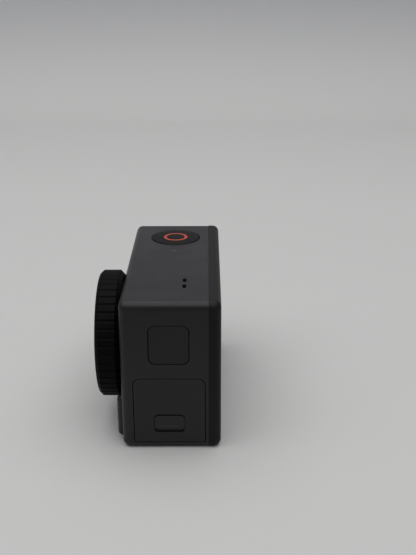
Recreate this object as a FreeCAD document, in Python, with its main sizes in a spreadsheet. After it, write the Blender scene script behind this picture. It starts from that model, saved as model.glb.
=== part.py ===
import FreeCAD, Part
import math
import os
import re
import Sketcher

# Action camera, lens towards -Y, screen towards +Y, shutter button on top. Millimetres.
# The origin is under the middle of the whole object, on the face that it stands on.

doc = FreeCAD.newDocument("action_camera")
sheet = doc.addObject("Spreadsheet::Sheet", "sizes")

# ---------------------------------------------------------------- driving sizes
# A size that starts with = follows what it fits, and a number in its place sets it by itself.
SIZES = {
    # overall
    "body_width": 70.5,
    "body_height": 44.2,
    "body_depth": 27.5,
    "cover_projection": 7.1,
    # housing and rear frame
    "wall": 1.5,
    "wall_bite": 0.4,
    "base_wall": 2.4,
    "front_wall": 1.8,
    "corner_radius": 2.2,
    "front_edge_radius": 2.0,
    "rear_frame_depth": 3.3,
    "rear_frame_proud": 0.15,
    "rear_edge_radius": 2.0,
    # general clearances
    "running_clearance": 0.05,
    "gap": 0.22,
    "seat_clearance": 0.1,
    "piece_clearance": 0.3,
    "overshoot": 1.0,
    "overlap": 0.1,
    # lens and its cover
    "lens_centre_x": 14.5,
    "lens_centre_z": 26.4,
    "cover_radius": 18.3,
    "cover_wall": 2.4,
    "cover_rim_width": 4.1,
    "cover_rim_flat": 1.2,
    "cover_taper": 1.4,
    "cover_rear_radius": "=cover_radius - cover_taper",
    "cover_skirt_radius": "=cover_radius - cover_wall",
    "cover_glass_radius": "=cover_radius - cover_rim_width",
    "cover_front_round": 1.1,
    "cover_knurl_end": 5.6,
    "cover_length": 6.9,
    "cover_glass_thickness": 1.4,
    "cover_glass_setback": 0.5,
    "glass_ledge": 1.3,
    "knurl_count": 48,
    "knurl_width": 0.62,
    "knurl_depth": 0.42,
    "lug_count": 3,
    "lug_angle": 30.0,
    "lug_thickness": 0.9,
    "lug_reach": 0.85,
    "flange_angle": 50.0,
    "flange_thickness": 1.0,
    "mount_length": 4.8,
    "mount_wall": 2.3,
    "mount_outer_radius": "=cover_skirt_radius - lug_reach - 1.5 * seat_clearance",
    "mount_inner_radius": "=mount_outer_radius - mount_wall",
    "mount_seal_width": 0.7,
    "mount_seal_length": 1.0,
    "mount_seal_out": 0.6,
    "barrel_front": 4.0,
    "barrel_wall": 1.3,
    "barrel_radius": "=mount_inner_radius - mount_seal_width",
    "barrel_bore": "=barrel_radius - barrel_wall",
    "barrel_step": 2.65,
    "barrel_step_front": 4.0,
    "barrel_step_slope": 1.0,
    "barrel_throat": 1.2,
    "barrel_taper": 3.8,
    "sensor_window": 5.04,
    "barrel_length": 16.2,
    "retainer_length": 0.9,
    "retainer_wall": 1.5,
    "retainer_out": 0.2,
    "retainer_chamfer": 0.4,
    "element_crown": 0.5,
    "element_crown_step": 0.15,
    "element_thickness": 1.2,
    "element_rear_step": 1.0,
    "element_rear_crown": 1.4,
    "element_crown_inset": 6.0,
    "element_rear_inset": 6.6,
    "element_rim_inset": 0.3,
    "rear_element_front": 7.2,
    "rear_element_length": 2.2,
    "rear_element_front_crown": 0.6,
    "rear_element_rear_crown": 0.3,
    "sensor_side": 7.2,
    "sensor_thickness": 0.9,
    "sensor_gap": 0.3,
    "board_thickness": 0.8,
    "sensor_board_side": 17.0,
    "spreader_side": 16.0,
    "spreader_gap": 0.6,
    # shutter button
    "shutter_x": -20.7,
    "shutter_shift": 0.23,
    "shutter_radius": 7.66,
    "shutter_rise": 0.12,
    "shutter_dome": 0.22,
    "shutter_flange": 0.7,
    "shutter_flange_reach": 0.9,
    "shutter_skirt_drop": 0.3,
    "shutter_bevel": 0.35,
    "shutter_bevel_in": 0.1,
    "shutter_bevel_drop": 0.08,
    "shutter_dome_mid": 0.12,
    "shutter_dome_inset": 2.1,
    "shutter_travel": 0.6,
    "ring_outer_radius": 3.85,
    "ring_inner_radius": 2.9,
    "ring_depth": 0.45,
    "plunger_radius": 1.2,
    "plunger_length": 1.6,
    "plunger_root": 1.0,
    "plunger_lift": 0.6,
    "switch_side": 4.4,
    "switch_top": 0.8,
    "switch_base": 0.5,
    "shutter_board_width": 13.0,
    "shutter_board_depth": 9.0,
    "quick_board_width": 9.0,
    "quick_board_height": 11.0,
    # quick-switch button
    "quick_shift": 0.43,
    "quick_z": 31.75,
    "quick_width": 10.8,
    "quick_height": 11.1,
    "quick_corner": 1.8,
    "quick_flange": 0.7,
    "quick_flange_reach": 0.9,
    "quick_edge": 0.18,
    "quick_travel": 0.5,
    # side doors: USB on +X, battery on -X
    "door_front_inset": 3.47,
    "door_back_inset": 1.14,
    "usb_door_low": 2.1,
    "usb_door_high": 21.6,
    "battery_door_low": 3.1,
    "battery_door_high": 40.6,
    "door_thickness": 1.8,
    "door_low_corner": 0.6,
    "door_high_corner": 1.8,
    "hinge_inset": 0.9,
    "hinge_drop": 2.5,
    "hinge_pin_depth": 1.0,
    "hinge_pin_radius": 0.4,
    "bay_depth": 4.3,
    "bay_wall": 1.2,
    "seal_thickness": 0.8,
    "seal_margin": 1.6,
    "seal_width": 1.1,
    "seal_hinge_gap": 0.9,
    "seal_corner": 1.2,
    "seal_inner_corner": 0.6,
    "seal_bolt_gap": 0.3,
    "seal_bolt_notch": 1.3,
    "latch_shift": 0.51,
    "latch_recess_width": 8.6,
    "latch_recess_low": 2.95,
    "latch_recess_height": 5.65,
    "latch_recess_depth": 0.7,
    "latch_corner": 1.3,
    "thumb_height": 4.2,
    "thumb_lift": 1.0,
    "thumb_inset": 0.05,
    "thumb_back_gap": 0.1,
    "thumb_root": 0.2,
    "ridge_lift": 0.35,
    "stem_lift": 1.5,
    "latch_travel": 0.85,
    "bolt_lift": 0.1,
    "bolt_width": 4.0,
    "bolt_height": 8.0,
    "latch_side_gap": 0.15,
    "ridge_height": 0.7,
    "ridge_proud": 0.15,
    "latch_stem_width": 3.2,
    "latch_stem_height": 1.4,
    "bolt_thickness": 0.7,
    # battery and card
    "battery_length": 30.5,
    "battery_depth": 13.4,
    "battery_height": 32.0,
    "battery_low": 5.0,
    "battery_front_inset": 4.95,
    "battery_inset": 4.2,
    "battery_edge": 1.2,
    "cradle_wall": 0.8,
    "cradle_end": 1.0,
    "cradle_contact_gap": 0.2,
    "cradle_corner": 1.0,
    "tab_thickness": 0.4,
    "tab_width": 6.0,
    "tab_height": 10.0,
    "tab_corner": 2.0,
    "contact_first": 6.0,
    "contact_pitch": 3.0,
    "contact_width": 3.0,
    "contact_height": 1.4,
    "card_width": 11.0,
    "card_length": 15.0,
    "card_thickness": 1.0,
    "card_stand_off": 0.5,
    "card_inset": 5.5,
    "card_lift": 10.5,
    "socket_wall": 0.2,
    "socket_end": 0.4,
    "socket_gap": 0.8,
    "socket_side": 0.5,
    "card_push": 0.8,
    # USB
    "usb_width": 8.94,
    "usb_height": 3.26,
    "usb_shell": 0.3,
    "usb_length": 7.35,
    "usb_z": 13.2,
    "usb_back": 1.0,
    "tongue_thickness": 0.7,
    "tongue_width": 6.7,
    "tongue_inset": 0.8,
    "usb_board_thickness": 0.6,
    "usb_board_height": 13.0,
    "usb_board_end": 0.4,
    "board_gap": 3.2,
    "board_low_gap": 0.6,
    "board_top_gap": 1.6,
    "board_side_gap": 0.4,
    "board_corner": 1.5,
    "chip_x": 2.0,
    "chip_z": 20.0,
    "chip_side": 12.0,
    "chip_thickness": 1.1,
    "chip_corner": 0.4,
    # screens
    "front_screen_x": -18.2,
    "front_screen_z": 22.4,
    "front_glass_width": 27.0,
    "front_glass_height": 31.0,
    "front_panel_width": 25.0,
    "front_panel_height": 29.0,
    "glass_thickness": 0.8,
    "panel_thickness": 1.3,
    "rear_glass_width": 64.0,
    "rear_glass_height": 38.0,
    "rear_panel_width": 58.0,
    "rear_panel_height": 34.0,
    "glass_corner": 2.2,
    "frame_seal_thickness": 0.5,
    "frame_seal_corner": 1.4,
    "frame_seal_gap": 0.2,
    # front pod, microphones, speaker, lights
    "pod_x": 30.2,
    "pod_low": 1.6,
    "pod_high": 14.6,
    "pod_width": 3.6,
    "pod_proud": 1.6,
    "pod_root": 0.7,
    "pod_edge": 1.45,
    "pod_hole_radius": 0.55,
    "pod_hole_inset": 2.6,
    "pod_hole_root": 0.2,
    "mic_slot_x1": 18.2,
    "mic_slot_x2": 22.85,
    "mic_slot_shift": 3.65,
    "mic_length": 2.7,
    "mic_width": 1.1,
    "mic_part_length": 3.6,
    "mic_part_width": 2.6,
    "mic_part_height": 1.0,
    "light_radius": 0.8,
    "light_length": 1.0,
    "front_light_x": -8.5,
    "front_light_z": 40.2,
    "top_light_x": -7.5,
    "grille_x": 24.6,
    "grille_shift": 0.25,
    "grille_radius": 3.4,
    "grille_thickness": 0.9,
    "grille_hole": 0.35,
    "grille_pitch": 1.2,
    "speaker_low": 1.0,
    "speaker_radius": 3.2,
    "speaker_magnet": 2.4,
    "speaker_rise": 0.8,
    # base
    "plate_width": 34.0,
    "plate_depth": 15.0,
    "plate_thickness": 1.2,
    "plate_corner": 1.9,
    "plate_shift": 1.25,
    "notch_spacing": 24.0,
    "notch_width": 4.2,
    "notch_depth": 6.0,
    "notch_corner": 0.8,
    "notch_floor": 0.3,
    "screw_spacing": 8.4,
    "screw_margin": 2.2,
    "screw_radius": 0.8,
    "screw_head_radius": 1.4,
    "screw_head": 0.7,
    "screw_recess": 0.1,
    "screw_slot": 0.45,
    "screw_slot_depth": 0.4,
}

# Places worked out from the driving sizes.
PLACES = {
    "rear_y": "(body_depth + cover_projection) / 2",
    "front_y": "rear_y - body_depth",
    "seam_y": "rear_y - rear_frame_depth",
    "cover_front_y": "front_y - cover_projection",
    "side_x": "body_width / 2 - rear_frame_proud",
    "housing_top": "body_height - rear_frame_proud",
    "inner_x": "side_x - wall",
    "inner_top": "housing_top - wall",
    "inner_front_y": "front_y + front_wall",
    "body_y": "(front_y + rear_y) / 2",
    "board_y": "seam_y - board_gap",
    "door_front_y": "front_y + door_front_inset",
    "door_back_y": "seam_y - door_back_inset",
    "latch_y": "body_y - latch_shift",
    "hinge_x": "side_x - hinge_inset",
    "door_inner_x": "side_x - door_thickness",
    "bay_x": "side_x - bay_depth",
    "bay_front_y": "door_front_y - gap",
    "bay_back_y": "door_back_y + gap",
    "usb_hinge_z": "usb_door_high - hinge_drop",
    "battery_hinge_z": "battery_door_high - hinge_drop",
    "battery_front_y": "front_y + battery_front_inset",
    "battery_outer_x": "side_x - battery_inset",
    "battery_inner_x": "battery_outer_x - battery_length",
    "battery_back_y": "battery_front_y + battery_depth",
    "battery_high": "battery_low + battery_height",
    "card_y": "battery_back_y + cradle_wall + card_stand_off",
    "card_low": "battery_low + card_lift",
    "card_high": "card_low + card_width",
    "shutter_y": "body_y - shutter_shift",
    "shutter_top": "housing_top + shutter_rise",
    "shutter_foot": "inner_top - shutter_flange - seat_clearance",
    "quick_y": "body_y - quick_shift",
    "quick_foot": "inner_x - seat_clearance - quick_flange",
    "plunger_foot": "shutter_foot - plunger_length + plunger_lift",
    "mic_slot_y": "body_y + mic_slot_shift",
    "grille_y": "body_y - grille_shift",
    "plate_y": "body_y - plate_shift",
    "barrel_narrow": "barrel_bore - barrel_step",
}

for row, name in enumerate(SIZES, start=1):
    sheet.set(f"A{row}", name)
    sheet.setAlias(f"B{row}", name)
for row, size in enumerate(SIZES.values(), start=1):
    sheet.set(f"B{row}", str(size))
doc.recompute()

WORD = re.compile(r"[a-z][a-z_0-9]*")


def bound(text):
    """The expression with each place written out and each size read from the sheet."""
    def swap(match):
        word = match.group(0)
        if word in PLACES:
            return "(" + bound(PLACES[word]) + ")"
        return "sizes." + word if word in SIZES else word
    return WORD.sub(swap, str(text))


def value(text):
    """The number that an expression gives now."""
    return float(sheet.evalExpression(bound(text)))


# ---------------------------------------------------------------- modelling helpers
V = FreeCAD.Vector
Z_AXIS = V(0, 0, 1)
ROOT_POINT = (-1, 1)
START, END, CENTRE = 1, 2, 3
QUARTER = math.pi / 2
nodes = []


def node(name):
    """A new body that becomes one sub-part, several loose solids allowed."""
    body = doc.addObject("PartDesign::Body", name)
    body.Label = name
    body.AllowCompound = True
    nodes.append(body)
    return body


def plane_of(body, role):
    return next(f for f in body.Origin.OriginFeatures if f.Role == role + "_Plane")


def sketch_on(body, role, shift=("0", "0", "0")):
    """A sketch on an origin plane: XY looks up +Z, YZ looks along +X, XZ looks along -Y."""
    sketch = body.newObject("Sketcher::SketchObject", body.Label + "_sketch")
    sketch.AttachmentSupport = [(plane_of(body, role), "")]
    sketch.MapMode = "FlatFace"
    for axis, text in zip("xyz", shift):
        if text != "0":
            sketch.setExpression(f"AttachmentOffset.Base.{axis}", bound(text))
    return sketch


def hold(sketch, kind, text, *ends):
    """One dimension of a sketch, bound to the sheet."""
    number = sketch.addConstraint(Sketcher.Constraint(kind, *ends, value(text)))
    sketch.setExpression(f"Constraints[{number}]", bound(text))


def rounded(sketch, across, up, low_radius, high_radius=None):
    """A rectangle with round corners: four lines and four tangent arcs, alike in pairs."""
    high_radius = high_radius or low_radius
    left, right = (value(t) for t in across)
    low, high = (value(t) for t in up)
    c, d = value(low_radius), value(high_radius)
    corners = [(right - c, low + c, c), (right - d, high - d, d), (left + d, high - d, d),
               (left + c, low + c, c)]
    ends = [V(left + c, low, 0), V(right - c, low, 0), V(right, low + c, 0), V(right, high - d, 0),
            V(right - d, high, 0), V(left + d, high, 0), V(left, high - d, 0), V(left, low + c, 0)]
    first = sketch.GeometryCount
    for k, (x, y, radius) in enumerate(corners):
        sketch.addGeometry(Part.LineSegment(ends[2 * k], ends[2 * k + 1]), False)
        arc = Part.ArcOfCircle(Part.Circle(V(x, y, 0), Z_AXIS, radius), (k - 1) * QUARTER, k * QUARTER)
        sketch.addGeometry(arc, False)
    for k in range(4):
        line, arc, following = first + 2 * k, first + 2 * k + 1, first + (2 * k + 2) % 8
        sketch.addConstraint(Sketcher.Constraint("Tangent", line, END, arc, START))
        sketch.addConstraint(Sketcher.Constraint("Tangent", arc, END, following, START))
        sketch.addConstraint(Sketcher.Constraint("Vertical" if k % 2 else "Horizontal", line))
    sketch.addConstraint(Sketcher.Constraint("Equal", first + 1, first + 7))
    sketch.addConstraint(Sketcher.Constraint("Equal", first + 3, first + 5))
    hold(sketch, "Radius", low_radius, first + 1)
    hold(sketch, "Radius", high_radius, first + 3)
    hold(sketch, "DistanceY", up[0], *ROOT_POINT, first, START)
    hold(sketch, "DistanceX", across[1], *ROOT_POINT, first + 2, START)
    hold(sketch, "DistanceY", up[1], *ROOT_POINT, first + 4, START)
    hold(sketch, "DistanceX", across[0], *ROOT_POINT, first + 6, START)


def polygon(sketch, points):
    """A closed outline of straight runs through points given as pairs of expressions."""
    spots = [V(value(x), value(y), 0) for x, y in points]
    first = sketch.GeometryCount
    for k, spot in enumerate(spots):
        sketch.addGeometry(Part.LineSegment(spot, spots[(k + 1) % len(spots)]), False)
    for k, (x, y) in enumerate(points):
        before = first + (k - 1) % len(points)
        sketch.addConstraint(Sketcher.Constraint("Coincident", before, END, first + k, START))
        hold(sketch, "DistanceX", x, *ROOT_POINT, first + k, START)
        hold(sketch, "DistanceY", y, *ROOT_POINT, first + k, START)


def rectangle(sketch, across, up):
    polygon(sketch, [(across[0], up[0]), (across[1], up[0]), (across[1], up[1]), (across[0], up[1])])


def circle(sketch, x, y, radius):
    number = sketch.addGeometry(Part.Circle(V(value(x), value(y), 0), Z_AXIS, value(radius)), False)
    hold(sketch, "Radius", radius, number)
    hold(sketch, "DistanceX", x, *ROOT_POINT, number, CENTRE)
    hold(sketch, "DistanceY", y, *ROOT_POINT, number, CENTRE)


def outline(sketch, shapes):
    """Draws shapes: (across, up), with one or two corner radii after them, or ('round', x, y, radius)."""
    for shape in shapes:
        if shape[0] == "round":
            circle(sketch, *shape[1:])
        elif len(shape) > 2:
            rounded(sketch, *shape)
        else:
            rectangle(sketch, *shape)


def volume(body):
    doc.recompute()
    return body.Shape.Volume


def pad(body, role, span, *shapes):
    """Material from span[0] to span[1] along the plane's axis."""
    start = "-(" + span[1] + ")" if role == "XZ" else span[0]
    sketch = sketch_on(body, role, ("0", "0", start))
    outline(sketch, shapes)
    feature = body.newObject("PartDesign::Pad", body.Label + "_pad")
    feature.Profile = sketch
    feature.setExpression("Length", bound(f"({span[1]}) - ({span[0]})"))
    body.Tip = feature
    doc.recompute()
    return feature


def pocket(body, role, span, *shapes):
    """An opening from span[0] to span[1] along the plane's axis."""
    before = volume(body)
    start = "-(" + span[0] + ")" if role == "XZ" else span[1]
    sketch = sketch_on(body, role, ("0", "0", start))
    outline(sketch, shapes)
    feature = body.newObject("PartDesign::Pocket", body.Label + "_pocket")
    feature.Profile = sketch
    feature.setExpression("Length", bound(f"({span[1]}) - ({span[0]})"))
    body.Tip = feature
    if not volume(body) < before:
        raise ValueError(f"{body.Label}: a pocket cuts nothing")
    return feature


def turned(body, centre, axis, points):
    """A solid of revolution. Points are (place along the axis, radius) pairs."""
    if axis == "Y":
        sketch = sketch_on(body, "YZ", ("0", centre[1], centre[0]))
        polygon(sketch, points)
        line = "H_Axis"
    else:
        sketch = sketch_on(body, "XZ", (centre[0], "0", f"-({centre[1]})"))
        polygon(sketch, [(radius, along) for along, radius in points])
        line = "V_Axis"
    feature = body.newObject("PartDesign::Revolution", body.Label + "_turned")
    feature.Profile = sketch
    feature.ReferenceAxis = (sketch, [line])
    feature.Angle = 360
    body.Tip = feature
    doc.recompute()
    return feature


def fillet(body, radius, chosen):
    """Rounds the edges of the tip for which chosen(edge) is true."""
    doc.recompute()
    base = body.Tip
    names = [f"Edge{k}" for k, edge in enumerate(base.Shape.Edges, start=1) if chosen(edge)]
    if not names:
        raise ValueError(f"{body.Label}: no edge to round")
    feature = body.newObject("PartDesign::Fillet", body.Label + "_fillet")
    feature.Base = (base, names)
    feature.setExpression("Radius", bound(radius))
    body.Tip = feature
    doc.recompute()
    return feature


def on_plane(axis, text):
    """True for an edge that lies whole in the plane where axis equals the expression."""
    place = value(text)

    def chosen(edge):
        box = edge.BoundBox
        low, high = getattr(box, axis + "Min"), getattr(box, axis + "Max")
        return abs(low - place) < 1e-3 and abs(high - place) < 1e-3
    return chosen


def solid(name, role, span, *shapes):
    """A node made of one pad."""
    body = node(name)
    pad(body, role, span, *shapes)
    return body


def about(centre, size, extra="0"):
    """Both ends of a span around a centre, widened by extra on each side."""
    return (f"{centre} - ({size}) / 2 - ({extra})", f"{centre} + ({size}) / 2 + ({extra})")


def mirrored(span):
    """The same span on the other side of the middle plane."""
    return (f"-({span[1]})", f"-({span[0]})")


def sided(side, span):
    return span if side > 0 else mirrored(span)


def signed(side, text):
    return text if side > 0 else f"-({text})"


DOORS = {
    "usb": {"side": 1, "low": "usb_door_low", "high": "usb_door_high", "hinge": "usb_hinge_z"},
    "battery": {"side": -1, "low": "battery_door_low", "high": "battery_door_high",
                "hinge": "battery_hinge_z"},
}
DOOR_Y = ("door_front_y", "door_back_y")
BAY_Y = ("bay_front_y", "bay_back_y")
LENS = ("lens_centre_x", "lens_centre_z")
HOLE = "hinge_pin_radius + running_clearance"


def lens_round(radius):
    return ("round", LENS[0], LENS[1], radius)


def glass(x, z, width, height, extra="0"):
    """Outline of a screen's glass or panel."""
    return (about(x, width, extra), about(z, height, extra), f"glass_corner + ({extra})")


# ---------------------------------------------------------------- main housing
housing = node("main_housing")
pad(housing, "XZ", ("front_y", "seam_y"), (("-side_x", "side_x"), ("0", "housing_top"), "corner_radius"))
fillet(housing, "front_edge_radius", on_plane("Y", "front_y"))
pocket(housing, "XZ", ("inner_front_y", "seam_y"),
       (("-inner_x", "inner_x"), ("base_wall", "inner_top"), "corner_radius - wall"))
for door in DOORS.values():
    # a solid block behind each door, hollowed into the bay that the door closes
    side, low, high, hinge = door["side"], door["low"], door["high"], door["hinge"]
    pad(housing, "YZ", sided(side, ("bay_x - bay_wall", "inner_x + wall_bite")),
        (("bay_front_y - bay_wall", "seam_y"), ("base_wall / 2", f"{high} + gap + bay_wall")))
    pocket(housing, "YZ", sided(side, ("bay_x", "side_x + overshoot")),
           (BAY_Y, (f"{low} - gap", f"{high} + gap"), "door_low_corner + gap", "door_high_corner + gap"))
    pocket(housing, "XZ", ("bay_front_y - hinge_pin_depth", "seam_y"),
           ("round", signed(side, "hinge_x"), hinge, "hinge_pin_radius"))
    # notch under the bay that the latch's bolt drops into
    pocket(housing, "XY", (f"{low} + bolt_lift - latch_travel - overlap", f"{low}"),
           (sided(side, ("door_inner_x - seat_clearance - bolt_thickness - gap", "door_inner_x + gap")),
            about("latch_y", "bolt_width", "gap")))
pocket(housing, "YZ", ("bay_x - bay_wall - overlap", "bay_x + overlap"),
       (about("latch_y", "usb_height + 2 * usb_shell", "running_clearance"),
        about("usb_z", "usb_width + 2 * usb_shell", "running_clearance"), "usb_height / 2"))
pocket(housing, "YZ", ("-bay_x - overlap", "-bay_x + bay_wall + overlap"),
       (("battery_front_y - piece_clearance", "battery_back_y + piece_clearance"),
        ("battery_low - piece_clearance", "battery_high + piece_clearance"), "battery_edge"),
       (("card_y - seat_clearance", "card_y + card_thickness + seat_clearance"),
        ("card_low - seat_clearance", "card_high + seat_clearance")))
pocket(housing, "XZ", ("front_y - overshoot", "inner_front_y + overshoot"),
       lens_round("mount_inner_radius"))
pocket(housing, "XZ", ("front_y - overshoot", "front_y + glass_thickness"),
       glass("front_screen_x", "front_screen_z", "front_glass_width", "front_glass_height",
             "seat_clearance"))
pocket(housing, "XZ", ("front_y", "inner_front_y + overshoot"),
       glass("front_screen_x", "front_screen_z", "front_panel_width", "front_panel_height",
             "seat_clearance"))
pocket(housing, "XY", ("inner_top - overshoot", "housing_top + overshoot"),
       ("round", "shutter_x", "shutter_y", "shutter_radius + gap"))
pocket(housing, "YZ", ("inner_x - overshoot", "side_x + overshoot"),
       (about("quick_y", "quick_width", "gap"), about("quick_z", "quick_height", "gap"),
        "quick_corner + gap"))
for slot in ("mic_slot_x1", "mic_slot_x2"):
    pocket(housing, "XY", ("inner_top - overshoot", "housing_top + overshoot"),
           (about(slot, "mic_length"), about("mic_slot_y", "mic_width"), "mic_width / 2.05"))
pocket(housing, "XY", ("-overshoot", "plate_thickness"),
       (about("0", "plate_width", "seat_clearance"), about("plate_y", "plate_depth", "seat_clearance"),
        "plate_corner + seat_clearance"))
POD = (about("pod_x", "pod_width"), ("pod_low", "pod_high"), "pod_width / 2.05")
pocket(housing, "XZ", ("front_y - overshoot", "front_y + pod_root"), POD)
FRONT_LIGHT = ("round", "front_light_x", "front_light_z", "light_radius")
TOP_LIGHT = ("round", "top_light_x", "shutter_y", "light_radius")
pocket(housing, "XZ", ("front_y - overshoot", "front_y + light_length"), FRONT_LIGHT)
pocket(housing, "XY", ("housing_top - light_length", "housing_top + overshoot"), TOP_LIGHT)
GRILLE = ("grille_x", "grille_y")
pocket(housing, "XY", ("-overshoot", "base_wall + overshoot"), ("round", *GRILLE, "grille_radius"))
SCREWS = [(f"{x} * screw_spacing / 2", f"plate_y + {y} * (plate_depth / 2 - screw_margin)")
          for x in (-1, 1) for y in (-1, 1)]
pocket(housing, "XY", ("plate_thickness - overlap", "base_wall + overlap"),
       *[("round", x, y, "screw_radius") for x, y in SCREWS])

# ---------------------------------------------------------------- rear frame, screens and their seal
frame = node("rear_frame")
FRAME_OUTLINE = (("-body_width / 2", "body_width / 2"), ("0", "body_height"),
                 "corner_radius + rear_frame_proud")
REAR = ("0", "body_height / 2")
pad(frame, "XZ", ("seam_y", "rear_y"), FRAME_OUTLINE)
fillet(frame, "rear_edge_radius", on_plane("Y", "rear_y"))
pocket(frame, "XZ", ("rear_y - glass_thickness", "rear_y + overshoot"),
       glass(*REAR, "rear_glass_width", "rear_glass_height", "seat_clearance"))
pocket(frame, "XZ", ("seam_y - overshoot", "rear_y"),
       glass(*REAR, "rear_panel_width", "rear_panel_height", "seat_clearance"))

solid("rear_cover_glass", "XZ", ("rear_y - glass_thickness", "rear_y"),
      glass(*REAR, "rear_glass_width", "rear_glass_height"))
solid("rear_display_panel", "XZ",
      ("rear_y - glass_thickness - panel_thickness", "rear_y - glass_thickness"),
      glass(*REAR, "rear_panel_width", "rear_panel_height"))
solid("front_cover_glass", "XZ", ("front_y", "front_y + glass_thickness"),
      glass("front_screen_x", "front_screen_z", "front_glass_width", "front_glass_height"))
solid("front_display_panel", "XZ",
      ("front_y + glass_thickness", "front_y + glass_thickness + panel_thickness"),
      glass("front_screen_x", "front_screen_z", "front_panel_width", "front_panel_height"))
rear_seal = solid("rear_frame_seal", "XZ", ("seam_y - frame_seal_thickness", "seam_y"),
                  (("-inner_x + seat_clearance", "inner_x - seat_clearance"),
                   ("base_wall + seat_clearance", "inner_top - seat_clearance"), "frame_seal_corner"))
pocket(rear_seal, "XZ", ("seam_y - overshoot", "seam_y + overshoot"),
       (("-rear_panel_width / 2", "rear_panel_width / 2"),
        about("body_height / 2", "rear_panel_height"), "glass_corner"))
for side in (1, -1):
    # the seal stops short of the solid blocks behind the doors
    block_top = DOORS["usb"]["high"] if side > 0 else DOORS["battery"]["high"]
    pocket(rear_seal, "XZ", ("seam_y - overshoot", "seam_y + overshoot"),
           (sided(side, ("bay_x - bay_wall - frame_seal_gap", "side_x")),
            ("0", f"{block_top} + gap + bay_wall + frame_seal_gap")))

# ---------------------------------------------------------------- lens mount and optics
def sectors(body, span, centre_angle, opening, inner, outer):
    """Cuts one wedge of a ring at an angle, between two radii, and repeats it for each lug."""
    before = volume(body)
    sketch = sketch_on(body, "XZ", (LENS[0], LENS[1], "-(" + span[0] + ")"))
    half = math.radians(value(opening)) / 2
    reach = value(outer)
    low, high = centre_angle - half, centre_angle + half
    rim = Part.ArcOfCircle(Part.Circle(V(0, 0, 0), Z_AXIS, reach), low, high)
    core = Part.ArcOfCircle(Part.Circle(V(0, 0, 0), Z_AXIS, value(inner)), low, high)
    for edge in (rim, core, Part.LineSegment(core.StartPoint, rim.StartPoint),
                 Part.LineSegment(core.EndPoint, rim.EndPoint)):
        sketch.addGeometry(edge, False)
    wedge = body.newObject("PartDesign::Pocket", body.Label + "_wedge")
    wedge.Profile = sketch
    wedge.setExpression("Length", bound(f"({span[1]}) - ({span[0]})"))
    body.Tip = wedge
    if not volume(body) < before:
        raise ValueError(f"{body.Label}: a wedge cuts nothing")
    return repeat(body, wedge, sketch, "lug_count")


def repeat(body, feature, sketch, count, line="N_Axis"):
    """Repeats a feature around the sketch's own axis."""
    pattern = body.newObject("PartDesign::PolarPattern", body.Label + "_pattern")
    pattern.Originals = [feature]
    pattern.Axis = (sketch, [line])
    pattern.Angle = 360
    pattern.setExpression("Occurrences", bound(count))
    body.Tip = pattern
    doc.recompute()
    return pattern


LUG_FRONT = "front_y - mount_length + flange_thickness + seat_clearance"
mount = node("lens_mount_ring")
turned(mount, LENS, "Y", [
    ("front_y", "mount_inner_radius"), ("front_y", "mount_outer_radius"),
    ("front_y - mount_length + flange_thickness", "mount_outer_radius"),
    ("front_y - mount_length + flange_thickness", "mount_outer_radius + lug_reach"),
    ("front_y - mount_length", "mount_outer_radius + lug_reach"),
    ("front_y - mount_length", "mount_inner_radius")])
sectors(mount, ("front_y - mount_length - overlap",
                "front_y - mount_length + flange_thickness + overlap / 2"),
        math.pi / 3, "360 / lug_count - flange_angle", "mount_outer_radius", "cover_skirt_radius")

cover = node("lens_cover_ring")
COVER_REAR = "cover_front_y + cover_length"
KNURL_REAR = "cover_front_y + cover_knurl_end"
GLASS_SEAT = "cover_front_y + cover_glass_setback + cover_glass_thickness"
turned(cover, LENS, "Y", [
    ("cover_front_y", "cover_glass_radius + cover_rim_flat"),
    ("cover_front_y", "cover_radius - cover_front_round"),
    ("cover_front_y + cover_front_round * 0.3", "cover_radius - cover_front_round * 0.3"),
    ("cover_front_y + cover_front_round", "cover_radius"), (KNURL_REAR, "cover_radius"),
    (COVER_REAR, "cover_rear_radius"), (COVER_REAR, "cover_skirt_radius"),
    (LUG_FRONT + " + lug_thickness", "cover_skirt_radius"),
    (LUG_FRONT + " + lug_thickness", "cover_skirt_radius - lug_reach"),
    (LUG_FRONT, "cover_skirt_radius - lug_reach"), (LUG_FRONT, "cover_skirt_radius"),
    (GLASS_SEAT + " + overlap", "cover_skirt_radius"),
    (GLASS_SEAT + " + overlap", "cover_glass_radius - glass_ledge"),
    (GLASS_SEAT, "cover_glass_radius - glass_ledge"), (GLASS_SEAT, "cover_glass_radius"),
    ("cover_front_y + cover_glass_setback", "cover_glass_radius")])
sectors(cover, (LUG_FRONT + " - overlap / 2", LUG_FRONT + " + lug_thickness + overlap / 2"),
        math.pi / 3, "360 / lug_count - lug_angle", "mount_outer_radius - overshoot", "cover_skirt_radius")
groove_sketch = sketch_on(cover, "XZ", (LENS[0], LENS[1], "-(cover_front_y + cover_front_round * 0.3)"))
rectangle(groove_sketch, about("0", "knurl_width"),
          ("cover_radius - knurl_depth", "cover_radius + overshoot"))
groove = cover.newObject("PartDesign::Pocket", "knurl_groove")
groove.Profile = groove_sketch
groove.setExpression("Length", bound("cover_knurl_end + overlap"))
cover.Tip = groove
repeat(cover, groove, groove_sketch, "knurl_count")
cover_glass = node("lens_cover_glass")
turned(cover_glass, LENS, "Y", [
    ("cover_front_y + cover_glass_setback", "0"), (GLASS_SEAT, "0"), (GLASS_SEAT, "cover_glass_radius"),
    ("cover_front_y + cover_glass_setback", "cover_glass_radius")])

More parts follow.
